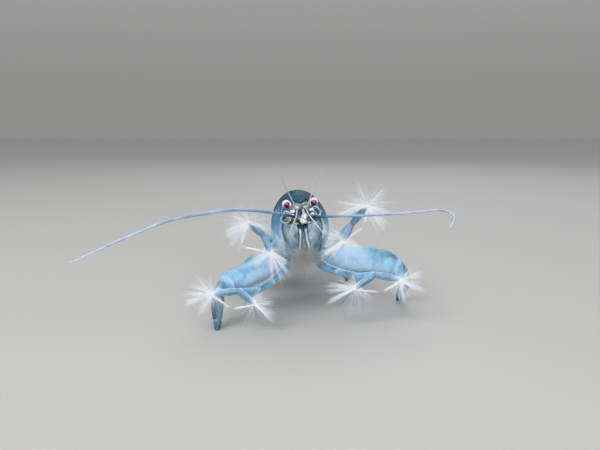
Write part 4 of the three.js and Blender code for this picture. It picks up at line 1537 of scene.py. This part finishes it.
# ------ abdomen and tail
@dataclass
class Abdomen(Part):
    """The six rings of the abdomen, laid over one another like tiles, with hanging side plates."""

    lip: float = 0.4  # how far a ring's back edge lies over the next ring
    sides: int = 64
    bands: int = 22
    belly: float = 0.62  # height of the flat underside against the side plates
    square: float = 0.55  # under 1 keeps the side plates upright
    hem_hairs: int = 26  # along each lower edge of a ring

    def ring_point(self, index: int, angle: float, along: float) -> Vector:
        """A point of a ring.

        Args:
            index: The ring.
            angle: Angle round it.
            along: Share of its length.

        Returns:
            The point.
        """
        begin, end = RING_EDGES[index] + (GAP / 2 if index else -1.4), RING_EDGES[index + 1] - GAP / 2
        y = mix(begin - 0.05, end + (self.lip if index < 5 else 0), along)
        swell = [curve(RING_SWELL, column, along) for column in (1, 2)]
        across, high = cos(angle), sin(angle)
        rounded = 1 if 0 < along < 1 else 0
        rounded *= 1 - 0.05 * (1 - min(min(along, 1 - along) / 0.06, 1)) ** 2
        if index == 5 and along > 0.8:
            rounded *= sqrt(max(0, 1 - ((along - 0.8) / 0.2) ** 2 * 0.8))
        if high < 0:
            hang = -high
            across = copysign(abs(across) ** self.square, across)
            across *= 1 - 0.12 * hang
            floor = self.belly * (1 - 0.15 * across * across)
            inner = ease((0.84 - abs(across)) / 0.14)
            high = -mix(hang, min(hang, floor), inner)
            lobe = ease(hang / 0.9)
            wider = (1.25 if index == 1 else 1) - 0.12 * lobe
            y = mix(y, mix((begin + end) / 2, y, wider), lobe)
        relief = 1 + 0.012 * bell(along, 0.93, 0.035) - 0.015 * bell(along, 0.24, 0.05)
        relief += 0.006 * noise.noise(Vector((across * 3, along * 4, high * 3 + index * 5)))
        sideways = swell[0] + (0.03 if index == 1 and high < 0.2 else 0)
        swollen = (sideways * relief, swell[0] * relief, swell[1])
        return trunk_point(ABDOMEN, across * rounded, high * rounded, y, swollen)

    @staticmethod
    def paint(index: int, angle: float, along: float) -> tuple[float, float]:
        """What is painted on a ring at a place.

        Args:
            index: The ring.
            angle: Angle round it.
            along: Share of its length.

        Returns:
            Shade and tint.
        """
        high = sin(angle)
        shade = mix(0.2, 0.52, ease((0.85 - high) / 1.2)) + 0.2 * ease((-0.35 - high) / 0.5)
        shade -= 0.16 * bell(along, 0.84, 0.07) * ease((high + 0.6) / 0.6)
        shade += 0.3 * ease((along - 0.95) / 0.04) * (index < 5) + 0.05 * index * along
        return shade, 0.32 * bell(cos(angle), 0, 0.13) * (high > 0)

    def build(self) -> None:
        """Models and finishes the rings."""
        rng = random.Random(SEED + 31)
        even = [0.03 + 0.94 * i / self.bands for i in range(1, self.bands + 1)]
        marks = [0, 0.003, 0.012, 0.03, *even, 0.988, 0.997, 1]
        for index in range(6):
            mesh = PieceMesh(f"abdomen_ring_{index + 1}", self.frames.trunk)
            mesh.tube(
                self.sides, marks,
                lambda angle, along: self.ring_point(index, angle, along),
                shade=lambda angle, along: self.paint(index, angle, along)[0],
                tint=lambda angle, along: self.paint(index, angle, along)[1],
            )
            for side in Side:
                for step in range(self.hem_hairs):
                    along = 0.12 + 0.76 * step / (self.hem_hairs - 1)
                    root = self.ring_point(index, side.pick((-1.25, pi + 1.25)), along)
                    way = Vector((0.25 * side.value, rng.uniform(0.1, 0.5), -1)).normalized()
                    mesh.strand(root, way, rng.uniform(0.35, 0.6), 0.022, shades=(0.7, 0.9))
            mesh.finish([self.palette.abdomen], Slot.ABDOMEN, [f"abdomen_{index + 1}"])


@dataclass
class TailFan(Part):
    """The telson and the two paddles on each side of it, ribbed and fringed."""

    telson: Table = (
        (0, 63.5, 6.1, 2.1, 1.1), (0, 65.8, 5.2, 1.95, 0.85), (0, 69.5, 3.9, 1.45, 0.55),
        (0, 72.1, 3, 0.95, 0.35),
    )
    inner: Table = (
        (2.2, 63.5, 4.6, 0.6, 0.45), (3, 66, 3.8, 1.6, 0.32), (4.2, 69.8, 2.9, 1.9, 0.28),
        (5.1, 73, 2.4, 0.8, 0.26),
    )
    stem: Table = (
        (1.5, 61.4, 5, 0.9, 0.9), (2.5, 62.9, 4.5, 1.15, 0.85), (3.5, 64.6, 3.9, 1.15, 0.55),
        (4.3, 66, 3.4, 0.9, 0.4),
    )
    outer: Table = (
        (3.2, 62.6, 3.9, 0.6, 0.45), (5.3, 65, 3, 1.85, 0.32), (7.4, 68.6, 2.2, 2.3, 0.28),
        (8.9, 72, 1.9, 1, 0.26),
    )

    telson_hairs: int = 60
    telson_studs: int = 5  # in each of its two rows
    paddle_hairs: int = 90

    @staticmethod
    def blade(mesh: PieceMesh, limb: Limb, ribs: Sequence[float], rng: random.Random, hairs: int) -> None:
        """Adds one flat blade.

        Args:
            mesh: The piece.
            limb: The blade's limb.
            ribs: Where its raised ribs run, as places across it.
            rng: Its source of chance.
            hairs: How many hairs fringe it.
        """

        def swell(angle: float, along: float) -> float:
            """Ribs on both faces."""
            rib = sum(bell(cos(angle), place, 0.1) for place in ribs)
            return 1 + 0.35 * rib * ease((0.95 - along) / 0.3) * abs(sin(angle))

        mesh.segment(
            limb, 0, limb.last, sides=44, count=30, cap=0.1, swell=swell,
            shade=lambda angle, along: 0.3 + 0.35 * along + 0.2 * abs(cos(angle)) ** 4,
            tint=lambda angle, along: 0.25 * bell(along, 0.78, 0.07),
        )
        for root, way in rim(limb, hairs, (0.45, 0.545, 0.5), (1.15, 0.45), 0.1, 0.97):
            mesh.strand(root, way, rng.uniform(0.6, 0.9), 0.025, shades=(0.75, 0.95))

    def build(self) -> None:
        """Models and finishes telson and paddles."""
        rng = random.Random(SEED + 57)
        mesh = PieceMesh("telson_plate", self.frames.trunk)
        limb = Limb(self.telson, UP)
        self.blade(mesh, limb, (0,), rng, self.telson_hairs)
        back = Vector((0, 0.75, 0.65)).normalized()
        for side in Side:
            for step in range(self.telson_studs):
                at = limb.surface(1 + 0.42 * step, pi / 2 + 0.75 * side.value, 0.98)
                mesh.stud(at, back, 0.11, 2.4, 0.9, 0)
        mesh.finish([self.palette.abdomen], Slot.ABDOMEN, ["telson"])
        for side in Side:
            for kind, stations in (("inner", self.inner), ("outer", self.outer)):
                mesh = PieceMesh(f"uropod_{side.word}_{kind}_blade", self.frames.trunk)
                self.blade(mesh, Limb(on_side(stations, side), UP), (-0.35, 0.3), rng, self.paddle_hairs)
                if kind == "outer":
                    stem = Limb(on_side(self.stem, side), UP)
                    mesh.segment(stem, 0, 3, cap=0.16, shade=lambda angle, along: 0.3 + 0.3 * along)
                mesh.finish([self.palette.abdomen], Slot.ABDOMEN, [f"uropod_{side.word}_{kind}"])


@dataclass
class Swimmerets(Part):
    """The five pairs of swimming legs under the abdomen."""

    reach: float = 2.3
    taper: float = 0.09  # how much smaller each pair is than the one before
    leaf_hairs: int = 34
    leaf: Table = (
        (0.95, 0, 0, 0.6, 0.5), (1.15, 0.9, -1.4, 1.15, 0.38), (1.25, 2, -2.9, 1, 0.3),
        (1.2, 3.1, -4, 0.3, 0.26),
    )

    def build(self) -> None:
        """Models and finishes the pairs."""
        rng = random.Random(SEED + 83)
        for index in range(5):
            y = (RING_EDGES[index] + RING_EDGES[index + 1]) / 2
            scale = 1 - self.taper * index
            below = curve(ABDOMEN, 3, y)
            high = axis_height(y) - below - 0.9
            reach = self.reach * scale
            mesh = PieceMesh(f"swimmerets_{index + 1}_leaves", self.frames.trunk)
            for side in Side:
                stem = [
                    (side.value * 0.92 * reach, y - 0.2, axis_height(y) - 0.5 * below, 0.75, 0.6),
                    (side.value * 0.95 * reach, y, high + 0.6, 0.72, 0.55),
                    (side.value * 1 * reach, y + 0.25, high - 0.35, 0.6, 0.48),
                ]
                mesh.segment(Limb(stem), 0, 2, cap=0.1, shade=lambda angle, along: 0.6 + 0.2 * along)
                for inset, size, back in ((0, 1, 0), (0.42, 0.78, 0.45)):
                    stations = [
                        (
                            side.value * (out - inset) * reach,
                            y + (onward + back) * scale,
                            high + up * scale * size,
                            across * size,
                            thick * 0.5,
                        )
                        for out, onward, up, across, thick in self.leaf
                    ]
                    limb = Limb(stations, (0, 1, 0.4))
                    mesh.segment(
                        limb, 0, 3, cap=0.14,
                        shade=lambda angle, along: 0.62 + 0.2 * along + 0.12 * abs(cos(angle)) ** 3,
                    )
                    for root, way in rim(limb, self.leaf_hairs, (0.3, 0.69, 0.6), (1.1, 0.5), 0.14, 0.95):
                        length = rng.uniform(0.6, 0.95) * scale
                        mesh.strand(root, way, min(length, (root.z - 1) * 0.8), 0.022, shades=(0.8, 0.95))
            mesh.finish([self.palette.leg], Slot.ABDOMEN, [f"swimmerets_{index + 1}"])


# ------ walking legs
@dataclass(frozen=True)
class Joint:
    """One segment of a jointed leg, between two stations."""

    start: float
    end: float
    shades: tuple[float, float] = (0.7, 0.6)
    studs: int = 0
    stud_size: float = 0.08
    painted_rim_light: float = 0  # painted rim light: how much paler both edges are, seen from the front


class JointedLimb:
    """Builds a limb of rounded segments, with soft membranes between them and rows of blunt spines."""

    def __init__(self, mesh: PieceMesh, limb: Limb, rng: random.Random) -> None:
        """Takes what it builds with.

        Args:
            mesh: The piece.
            limb: The limb.
            rng: Its source of chance.
        """
        self.mesh = mesh
        self.limb = limb
        self.rng = rng

    def segment(self, joint: Joint, sides: int = 28, count: int = 26, high_side: Vector = UP) -> None:
        """Adds one segment.

        Args:
            joint: The segment.
            sides: Points in each ring.
            count: Bands along it.
            high_side: The side that is darker and carries the blunt spines.
        """
        limb = self.limb
        top = limb.angle_to((joint.start + joint.end) / 2, high_side)
        front = limb.angle_to((joint.start + joint.end) / 2, AHEAD)

        def swell(angle: float, along: float) -> float:
            """A collar at the far end, a waist behind it and gentle waves."""
            wave = noise.noise(Vector((cos(angle) * 1.6, sin(angle) * 1.6, along * 5 + joint.start)))
            collar = 0.03 * bell(along, 0.93, 0.03) - 0.02 * bell(along, 0.86, 0.04)
            return 0.95 + 0.05 * ease(along * 4) + collar + 0.02 * wave

        def shade(angle: float, along: float) -> float:
            """Darker on the high side and towards the far end, pale at the joints, with painted rim light on
            both edges seen from the front.
            """
            tone = mix(joint.shades[0], joint.shades[1], ease(along))
            tone -= 0.19 * ease(cos(angle - top)) * ease(along * 1.6)
            # painted rim light: both edges, as seen from the front, are painted paler
            tone += joint.painted_rim_light * sin(angle - front) ** 6
            return tone + 0.2 * bell(along, 0.98, 0.03) + 0.12 * bell(along, 0, 0.05)

        self.mesh.segment(limb, joint.start, joint.end, sides, count, 0.07, swell, floor=0, shade=shade)
        for number in range(joint.studs):
            row = number % 3 + 0.5
            along = 0.3 + 0.64 * ((number // 3 + self.rng.uniform(0.1, 0.9)) / (joint.studs / 3)) ** 0.8
            station = mix(joint.start, joint.end, min(along, 0.96))
            angle = top + (row - 1.5) * 0.17 + self.rng.uniform(-0.1, 0.1)
            at = limb.surface(station, angle, 0.985)
            out = (at - limb.centre(station)).normalized()
            size = joint.stud_size * self.rng.uniform(0.45, 1)
            if at.z > 3 * size:
                self.mesh.stud(at, (out + limb.frame(station)[1] * 0.9).normalized(), size, 2.3, 0.2, 0.8)
                if self.rng.random() < 0.45:
                    aside = limb.surface(station + 0.03, angle + 0.14, 1)
                    self.mesh.stud(aside, out, size * 0.55, 1.2, 1, 0)

    def membrane(self, station: float, sides: int = 20, shade: float = 0.85) -> None:
        """Adds the soft skin inside a joint.

        Args:
            station: Place along the limb.
            sides: Points in each ring.
            shade: The shade painted on it.
        """
        ends = max(0, station - 0.12), min(float(self.limb.last), station + 0.12)
        self.mesh.segment(self.limb, *ends, sides, 4, 0.2, 0.78, floor=0, shade=shade)

    def hairs(self, count: int, start: float, end: float, length: float, low: Vector) -> None:
        """Adds short hairs along one side of the limb.

        Args:
            count: How many.
            start: Station where they begin.
            end: Station where they end.
            length: Their usual length.
            low: The direction of the side that carries them.
        """
        for _ in range(count):
            station = self.rng.uniform(start, end)
            angle = self.limb.angle_to(station, low) + self.rng.uniform(-0.7, 0.7)
            root = self.limb.surface(station, angle, 0.97)
            out = (root - self.limb.centre(station)).normalized()
            way = (out + self.limb.frame(station)[1] * self.rng.uniform(0.3, 0.9)).normalized()
            if (root + way * length).z > 0.1:
                self.mesh.strand(root, way, length * self.rng.uniform(0.6, 1.1), 0.02, shades=(0.85, 0.95))


@dataclass
class WalkingLegs(Part):
    """The three pairs of legs that the animal stands on: the stout third pair and two slimmer ones."""

    stout: tuple[Table, Table] = ((
        (3.2, 10.9, 13.6, 1.5, 1.5), (7.6, 9.3, 12.3, 2.5, 2.2), (15.4, 7.2, 12.2, 3.4, 2.9),
        (22, 5, 11.6, 3, 2.6), (26, 4.6, 8.9, 1.6, 1.5), (26.9, 7.2, 5.6, 1.5, 1.4),
        (26.5, 10, 2.3, 1.05, 1), (26.2, 11.6, -0.4, 0.5, 0.5),
    ), (
        (-3, 10.9, 13.6, 1.5, 1.5), (-6.4, 7.9, 11.3, 2.3, 2.1), (-12, 2, 9.7, 2.9, 2.7),
        (-16.8, -3.4, 8.9, 2.5, 2.3), (-18.9, -7.4, 7.5, 1.45, 1.4), (-19.1, -10, 4.9, 1.45, 1.35),
        (-18.95, -11.9, 1.9, 1, 0.95), (-18.9, -12.8, -0.4, 0.5, 0.5),
    ))
    thigh_studs: Row = (84, 42)  # left, right
    thigh_shades: Table = ((0.79, 0.55), (0.84, 0.6))
    claws: int = 4  # under each foot
    hind: tuple[Table, Table] = ((  # the fourth and the fifth pair
        (3.2, 15.2, 13, 1.2), (7.6, 15.6, 10.6, 1.75), (12.6, 17.4, 9.2, 1.85), (15.6, 19.4, 6.9, 1),
        (16.6, 21.4, 3.6, 1), (17, 23, -0.4, 0.42),
    ), (
        (3, 18.9, 12.6, 1.1), (6.6, 20.8, 10.4, 1.5), (10.6, 24.4, 8.9, 1.55), (12.7, 27.8, 6.4, 0.9),
        (13.6, 30.4, 3.3, 0.9), (14, 32.2, -0.4, 0.4),
    ))

    def build_claw(self, work: JointedLimb, start: float) -> None:
        """Adds the last segment with its claws, which stand on the floor.

        Args:
            work: The leg.
            start: Station where the segment begins.
        """
        limb = work.limb
        end = float(limb.last) - 0.1
        work.mesh.segment(
            limb, start, end, count=12, cap=0.1, floor=0, shade=lambda angle, along: 0.2 - 0.08 * along,
        )
        foot = limb.centre(end - 0.1)
        for turn in range(self.claws):
            way = Vector((cos(turn * 1.57 + 0.6), sin(turn * 1.57 + 0.6), 0.15))
            tip = Vector((foot.x, foot.y, 0.22)) + way * 0.42
            work.mesh.stud(tip, Vector((way.x, way.y, -0.35)).normalized(), 0.14, 1.6, 0.15, 0.6)

    def build(self) -> None:
        """Models and finishes the six legs."""
        down = Vector((0, 0, -1))
        for side in Side:
            rng = random.Random(SEED + 100 + side.value)
            limb = Limb(side.pick(self.stout), (0.2, 1, 0))
            ahead = Vector((0, -0.35, 1)).normalized()
            outer = Vector((side.value * 0.8, -0.5, 0.4)).normalized()
            thigh = (
                Joint(0.1, 0.72, (0.7, 0.7)), Joint(0.66, 1.22, (0.73, 0.7), 10),
                Joint(1.1, 3.42, side.pick(self.thigh_shades), side.pick(self.thigh_studs), 0.085),
                Joint(3.36, 3.97, (0.56, 0.42), 20),
            )
            shank = (Joint(4.03, 4.62, (0.42, 0.34), 16), Joint(4.6, 5.97, (0.32, 0.26), 36))
            for piece, joints, high_side in (("thigh", thigh, ahead), ("shank", shank, outer)):
                mesh = PieceMesh(f"leg3_{side.word}_{piece}_shell", self.frames.floor)
                work = JointedLimb(mesh, limb, rng)
                for joint in joints:
                    work.segment(joint, 36, 34, high_side)
                    work.membrane(joint.start)
                work.hairs(50, joints[0].start + 0.3, joints[-1].end, 0.5, down)
                mesh.finish([self.palette.leg], Slot.LEG, [f"leg3_{side.word}_{piece}"])
            mesh = PieceMesh(f"leg3_{side.word}_claw_shell", self.frames.floor)
            work = JointedLimb(mesh, limb, rng)
            work.membrane(6, shade=0.3)
            self.build_claw(work, 6)
            mesh.finish([self.palette.leg], Slot.LEG, [f"leg3_{side.word}_claw"])

            for number, stations in zip((4, 5), self.hind):
                name = f"leg{number}_{side.word}"
                mesh = PieceMesh(f"{name}_shell", self.frames.floor)
                limb = Limb(on_side(stations, side), (0.2, 1, 0.1))
                work = JointedLimb(mesh, limb, rng)
                for joint in (
                    Joint(0.1, 0.5, (0.8, 0.78)), Joint(0.46, 0.9, (0.8, 0.74), 5),
                    Joint(0.84, 2.6, (0.78, 0.5), 50), Joint(2.56, 3.1, (0.5, 0.42), 10),
                    Joint(3.08, 4.3, (0.42, 0.3), 30),
                ):
                    work.segment(joint)
                    work.membrane(joint.start)
                work.membrane(4.3)
                self.build_claw(work, 4.28)
                work.hairs(40, 3.1, 4.3, 0.5, down)
                mesh.finish([self.palette.leg], Slot.LEG, [name])


# ------ fans
TUFT_BRIGHTNESS: Row = (0.05, 0.25, 0.5, 0.95)


@dataclass(frozen=True)
class Brush:
    """A spray or bundle of bristles at a finger's tip, by its direction seen from the front."""

    degrees: float  # from the animal's left, which is +X, turning up
    fan: float  # how far to each side it spreads, in degrees
    length: float
    count: int
    width: float = 0.034
    curl: float = 0.5  # how far the tips curve downwards, in millimetres
    even: bool = False  # spread evenly rather than crowded to the middle


@dataclass(frozen=True)
class Finger:
    """One finger of a fan: its name, its tip and the brushes there."""

    kind: str
    tip: Row
    brushes: tuple[Brush, ...]


@dataclass(frozen=True)
class Arm:
    """One fan-bearing leg."""

    name: str
    stations: Table
    elbow: Row  # where the edge bristles of both fingers meet
    fingers: tuple[Finger, Finger]


@dataclass
class FanArms(Part):
    """The first two pairs of legs, each with two wide-open fingers that carry sprays of bristles."""

    forward: float = 0.15  # how far the bristles lean forward
    clearance: float = 0.35
    spread: float = 1.4  # how much thicker the evenly spread brushes stand than their counts
    edge: int = 16  # bristles along the edge from each tip to the elbow
    # Share of the way to the tip, half width and half thickness of a finger.
    finger: Table = (
        (0, 0.62, 0.55), (0.28, 0.85, 0.6), (0.6, 0.82, 0.55), (0.86, 0.55, 0.4), (1.02, 0.16, 0.16),
    )
    arms: tuple[Arm, ...] = (
        Arm("leg1_right", (
            (-3.2, 5.6, 14.4, 1.1), (-4.7, 1.6, 14.8, 1.05), (-5.9, -2, 17, 0.85),
            (-7.3, -4.4, 19.3, 0.95), (-8.6, -6, 20.7, 0.72),
        ), (-13.9, -6.8, 18.3), (
            Finger("outer", (-12.31, -6.6, 24), (
                Brush(125, 135, 7.4, 190, even=True), Brush(205, 16, 6.8, 110, 0.045, 0.9),
                Brush(232, 9, 8, 30), Brush(-14, 9, 6.2, 60, 0.045, 0.6), Brush(152, 8, 5.4, 20),
                Brush(250, 5, 7.6, 16),
            )),
            Finger("inner", (-6.9, -6.6, 16.6), (
                Brush(-60, 125, 7.6, 170, even=True), Brush(-30, 7, 5.4, 75, 0.05, 0.4),
                Brush(-48, 5, 7.8, 30, 0.04), Brush(-68, 6, 8.6, 26), Brush(-86, 4, 8.4, 18),
                Brush(-148, 14, 6.4, 40),
            )),
        )),
        Arm("leg1_left", (
            (3.4, 5.6, 14.6, 1.1), (6.6, 1.4, 14.9, 1.05), (8.4, -2.2, 17.4, 0.85),
            (10, -4.6, 20.6, 0.95), (11.9, -6.2, 23.3, 0.72),
        ), (14.84, -7.2, 23.1), (
            Finger("outer", (15.58, -7.2, 28), (
                Brush(50, 140, 7.9, 230, even=True), Brush(190, 5, 8, 85, 0.045, 1.6),
                Brush(-22, 9, 6.6, 75, 0.045, -0.5), Brush(172, 9, 8.2, 30),
                Brush(38, 6, 5.8, 14, 0.034, -0.8), Brush(-52, 18, 8.2, 50),
            )),
            Finger("inner", (10, -7, 19.35), (
                Brush(-122, 105, 6.6, 150, even=True), Brush(-146, 6, 7, 120, 0.05, 0.2),
                Brush(-132, 6, 6.2, 40, 0.04), Brush(150, 18, 6.4, 40), Brush(-28, 10, 5.6, 26),
            )),
        )),
        Arm("leg2_right", (
            (-3.2, 8.4, 13.4, 1.1), (-4, 3.8, 10.4, 1.15), (-7.4, -2.4, 8.4, 0.9), (-10.9, -8.2, 7.8, 1),
            (-13.9, -12.3, 9, 0.72),
        ), (-15.39, -13.4, 5.1), (
            Finger("outer", (-20.11, -13.4, 8.6), (
                Brush(180, 128, 7, 190, even=True), Brush(193, 6, 3.6, 90, 0.05, 0.1),
                Brush(195, 9, 7.4, 55, 0.04, 0.8), Brush(236, 5, 6.4, 32, 0.04), Brush(146, 12, 6.6, 30),
                Brush(174, 6, 7.4, 26),
            )),
            Finger("inner", (-10, -13.6, 6.2), (
                Brush(-36, 118, 6.4, 150, even=True), Brush(-41, 4, 6.2, 75, 0.05, 0.3),
                Brush(8, 10, 5.2, 30), Brush(-22, 8, 6.6, 30),
            )),
        )),
        Arm("leg2_left", (
            (3.2, 8.4, 13.5, 1.1), (5.6, 3.8, 11.4, 1.15), (9.8, -1.6, 10.8, 0.9), (13.8, -6.2, 10.8, 1),
            (17.2, -9.2, 12.1, 0.72),
        ), (18.54, -10.4, 8.2), (
            Finger("outer", (23.35, -10.4, 11), (
                Brush(-10, 125, 6.9, 180, even=True), Brush(-23, 7, 6.8, 90, 0.045, 0.4),
                Brush(26, 13, 6, 36), Brush(-82, 14, 5.4, 50),
            )),
            Finger("inner", (12.13, -10.4, 8.9), (
                Brush(-148, 125, 7.2, 170, even=True), Brush(-155, 5, 7.6, 120, 0.048, 0.3),
                Brush(168, 6, 7.4, 36), Brush(180, 5, 7.8, 30),
            )),
        )),
    )

    def build_arm(self, arm: Arm, rng: random.Random) -> None:
        """Models the jointed arm as far as the hinge.

        Args:
            arm: The arm.
            rng: Its source of chance.
        """
        mesh = PieceMesh(f"{arm.name}_arm_shell", self.frames.floor)
        work = JointedLimb(mesh, Limb(arm.stations, (0.2, 0.3, 1)), rng)
        for start, end, shades in (
            (0, 0.75, (0.64, 0.6)), (0.7, 1.95, (0.58, 0.44)), (1.9, 2.85, (0.42, 0.38)),
            (2.8, 4, (0.36, 0.4)),
        ):
            # Each arm segment gets painted rim light: both edges, seen from the front, are painted paler.
            work.segment(Joint(start, end, shades, painted_rim_light=0.32), 24, 22)
            work.membrane(start, 16)
        work.hairs(60, 0.8, 3.9, 0.6, AHEAD)
        mesh.finish([self.palette.leg], Slot.LEG, [f"{arm.name}_arm"])

    def brush(self, mesh: PieceMesh, tip: Vector, back: Vector, brush: Brush, rng: random.Random) -> None:
        """Adds the bristles of one brush.

        Args:
            mesh: The piece of bristles.
            tip: The finger's tip.
            back: The way from the tip towards the hinge.
            brush: The brush.
            rng: Its source of chance.
        """
        tufts = [
            (
                rng.uniform(-1, 1), rng.gauss(self.forward, 0.2), rng.uniform(0.7, 1.08),
                rng.choice(TUFT_BRIGHTNESS),
            )
            for _ in range(max(2, round(brush.fan / 5)))
        ]
        for _ in range(round(brush.count * (self.spread if brush.even else 1))):
            bright = 1
            if brush.even:
                off, lean, reach, bright = rng.choice(tufts)
                off += rng.gauss(0, 2.2 / brush.fan)
                lean += rng.gauss(0, 0.03)
                if rng.random() < 0.3:
                    off, lean = rng.uniform(-1, 1), rng.gauss(self.forward, 0.2)
            else:
                off, reach = max(-1.4, min(1.4, rng.gauss(0, 0.5))), 1
                lean = rng.gauss(self.forward, 0.07)
            turn = radians(brush.degrees + brush.fan * off)
            way = Vector((cos(turn), -lean, sin(turn))).normalized()
            around = rng.uniform(0, tau)
            set_back = rng.uniform(0, 1.5) * (0.5 + 0.5 * brush.even)
            root = tip + back * set_back
            root += Vector((cos(around), sin(around) * 0.6, sin(around) * 0.5)) * 0.22
            length = brush.length * reach * rng.uniform(0.75, 1.06) * (1 - 0.22 * abs(off) ** 3 * brush.even)
            sag = Vector((rng.gauss(0, 0.2), rng.gauss(0, 0.25), -brush.curl * rng.uniform(0.5, 1.4)))
            drop = min(sag.z, 0)
            lowest = root.z + way.z * length + drop
            if lowest < self.clearance and way.z < 0:
                length *= max(0.1, (root.z - self.clearance + drop) / (root.z - lowest + drop))
            out = 0.4 * (0.4 + 0.6 * set_back / 1.5)
            patch = (0.5 + out * cos(turn), 0.5 + out * sin(turn))
            width = brush.width * rng.uniform(0.75, 1.2) * (0.44 if brush.even else 0.75)
            shades = (rng.uniform(0.5, 0.62) + 0.38 * bright, 0.3 * bright)
            mesh.strand(root, way, length, width, sag, shades, patch)

    def edge_bristles(self, mesh: PieceMesh, tip: Vector, elbow: Vector, rng: random.Random) -> None:
        """Adds the thin bundle of bristles along a fan's edge.

        Args:
            mesh: The piece of bristles.
            tip: The finger's tip.
            elbow: The elbow of the fan.
            rng: Its source of chance.
        """
        for _ in range(self.edge):
            target = elbow + Vector((rng.gauss(0, 0.18), rng.gauss(0, 0.25), rng.gauss(0, 0.18)))
            span = target - tip
            bow = Vector((0, rng.uniform(-0.5, 0.1), 0))
            straight = span - bow
            patch = (0.5 + rng.uniform(-0.1, 0.1), 0.5)
            mesh.strand(tip, straight.normalized(), straight.length, 0.04, bow, (0.9, 0.8), patch)

    def build_finger(self, arm: Arm, finger: Finger, rng: random.Random) -> None:
        """Models and finishes one finger and its bristles.

        Args:
            arm: The arm.
            finger: The finger.
            rng: Its source of chance.
        """
        hinge, tip = Vector(arm.stations[-1][:3]), Vector(finger.tip)
        onward = (tip - hinge).normalized()
        start = hinge - onward * 0.25
        stations = [(*start.lerp(tip, share), across, thick) for share, across, thick in self.finger]
        name = f"{arm.name}_finger_{finger.kind}"
        mesh = PieceMesh(f"{name}_shell", self.frames.floor)
        # Paler towards the tip; both edges, seen from the front, are painted paler as painted rim light.
        mesh.segment(
            Limb(stations), 0, 4, sides=24, count=26,
            swell=lambda angle, along: 1 - 0.14 * bell(sin(angle), -1, 0.35) * bell(along, 0.5, 0.3),
            shade=lambda angle, along: mix(0.38, 0.98, ease((along - 0.5) / 0.5)) + 0.38 * cos(angle) ** 6,
        )
        mesh.finish([self.palette.fan], Slot.FAN, [name])
        bristles = PieceMesh(f"{name}_bristles", self.frames.floor, coat=True)
        for brush in finger.brushes:
            self.brush(bristles, tip, -onward, brush, rng)
        self.edge_bristles(bristles, tip, Vector(arm.elbow), rng)
        bristles.finish([self.palette.bristle], Slot.FAN)

    def build(self) -> None:
        """Models and finishes the four arms with their fingers."""
        for order, arm in enumerate(self.arms):
            rng = random.Random(SEED + 200 + order)
            self.build_arm(arm, rng)
            for finger in arm.fingers:
                self.build_finger(arm, finger, rng)


# ------ studio
@dataclass
class Studio:
    """A plain pale floor, soft light and the camera."""

    frames: Frames
    floor_colour: Colour = (0.35, 0.345, 0.34)
    horizon_colour: Colour = (0.31, 0.307, 0.304)
    zenith_colour: Colour = (0.84, 0.85, 0.86)
    # Each light's name, place in metres, width in metres, power in watts and colour.
    lights: tuple[tuple[str, Row, float, float, Colour], ...] = (
        ("key", (-0.3, -0.42, 0.42), 0.4, 3.9, (1, 0.985, 0.96)),
        ("front", (0.16, -0.6, 0.16), 0.45, 3.7, (0.96, 0.98, 1)),
        ("rim", (0.12, 0.42, 0.45), 0.35, 1, (0.95, 0.98, 1)),
    )
    middle: Row = (0, 0, 0.015)
    lens: float = 36
    camera_place: Row = (-0.06, -144.05, 45)
    camera_tilt: float = 81  # degrees from looking straight down

    def build_floor(self) -> None:
        """Lays the floor."""
        bm = bmesh.new()
        bmesh.ops.create_grid(bm, x_segments=8, y_segments=8, size=3)
        mesh = bpy.data.meshes.new("studio_floor")
        bm.to_mesh(mesh)
        bm.free()
        material, tree, shader, where = new_material("studio_floor")
        cloud = tree.noise(where, 3, 4)
        pale = tuple(value * 1.04 for value in self.floor_colour)
        tree.feed(shader.inputs["Base Color"], tree.blend(cloud, (*self.floor_colour, 1), (*pale, 1)))
        shader.inputs["Roughness"].default_value = 0.7
        mesh.materials.append(material)
        floor = new_object("studio_floor", mesh)

    def build_lights(self) -> None:
        """Hangs the soft lights, which look at the middle of the animal."""
        for name, place, size, power, colour in self.lights:
            light = bpy.data.lights.new(name, "AREA")
            light.shape = "SQUARE"
            light.size = size
            light.energy = power
            light.color = colour
            lamp = new_object(name, light)
            lamp.location = place
            lamp.rotation_euler = (Vector(self.middle) - Vector(place)).to_track_quat("-Z", "Y").to_euler()

    def build(self) -> None:
        """Sets up floor, lights, world and camera."""
        self.build_floor()
        self.build_lights()
        world = bpy.data.worlds.new("studio")
        world.use_nodes = True
        tree = Tree(world.node_tree)
        way = tree.node("TexCoord").outputs["Generated"]
        rise = tree.span(tree.node("SeparateXYZ", {"Vector": way}).outputs[2], 0, 0.9)
        sky = tree.blend(rise, (*self.horizon_colour, 1), (*self.zenith_colour, 1))
        tree.feed(world.node_tree.nodes["Background"].inputs["Color"], sky)
        world.node_tree.nodes["Background"].inputs["Strength"].default_value = 1
        bpy.context.scene.world = world
        bpy.context.scene.view_settings.view_transform = "Khronos PBR Neutral"
        lens = bpy.data.cameras.new("camera")
        lens.lens = self.lens
        lens.sensor_width = 36
        lens.clip_start = 0.005
        camera = new_object("camera", lens)
        camera.location = self.frames.floor @ Vector(self.camera_place)
        camera.rotation_euler = (radians(self.camera_tilt), 0, 0)
        bpy.context.scene.camera = camera


def main() -> None:
    """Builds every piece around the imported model."""
    logging.basicConfig(level=logging.INFO, format="%(message)s")
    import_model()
    random.seed(SEED)
    frames = Frames.packed()
    Studio(frames).build()
    palette = Palette()
    for part in (
        Carapace, Thorax, Eyes, Feelers, MouthLegs, Abdomen, TailFan, Swimmerets, WalkingLegs, FanArms,
    ):
        part(frames, palette).build()


if __name__ == "__main__":
    main()
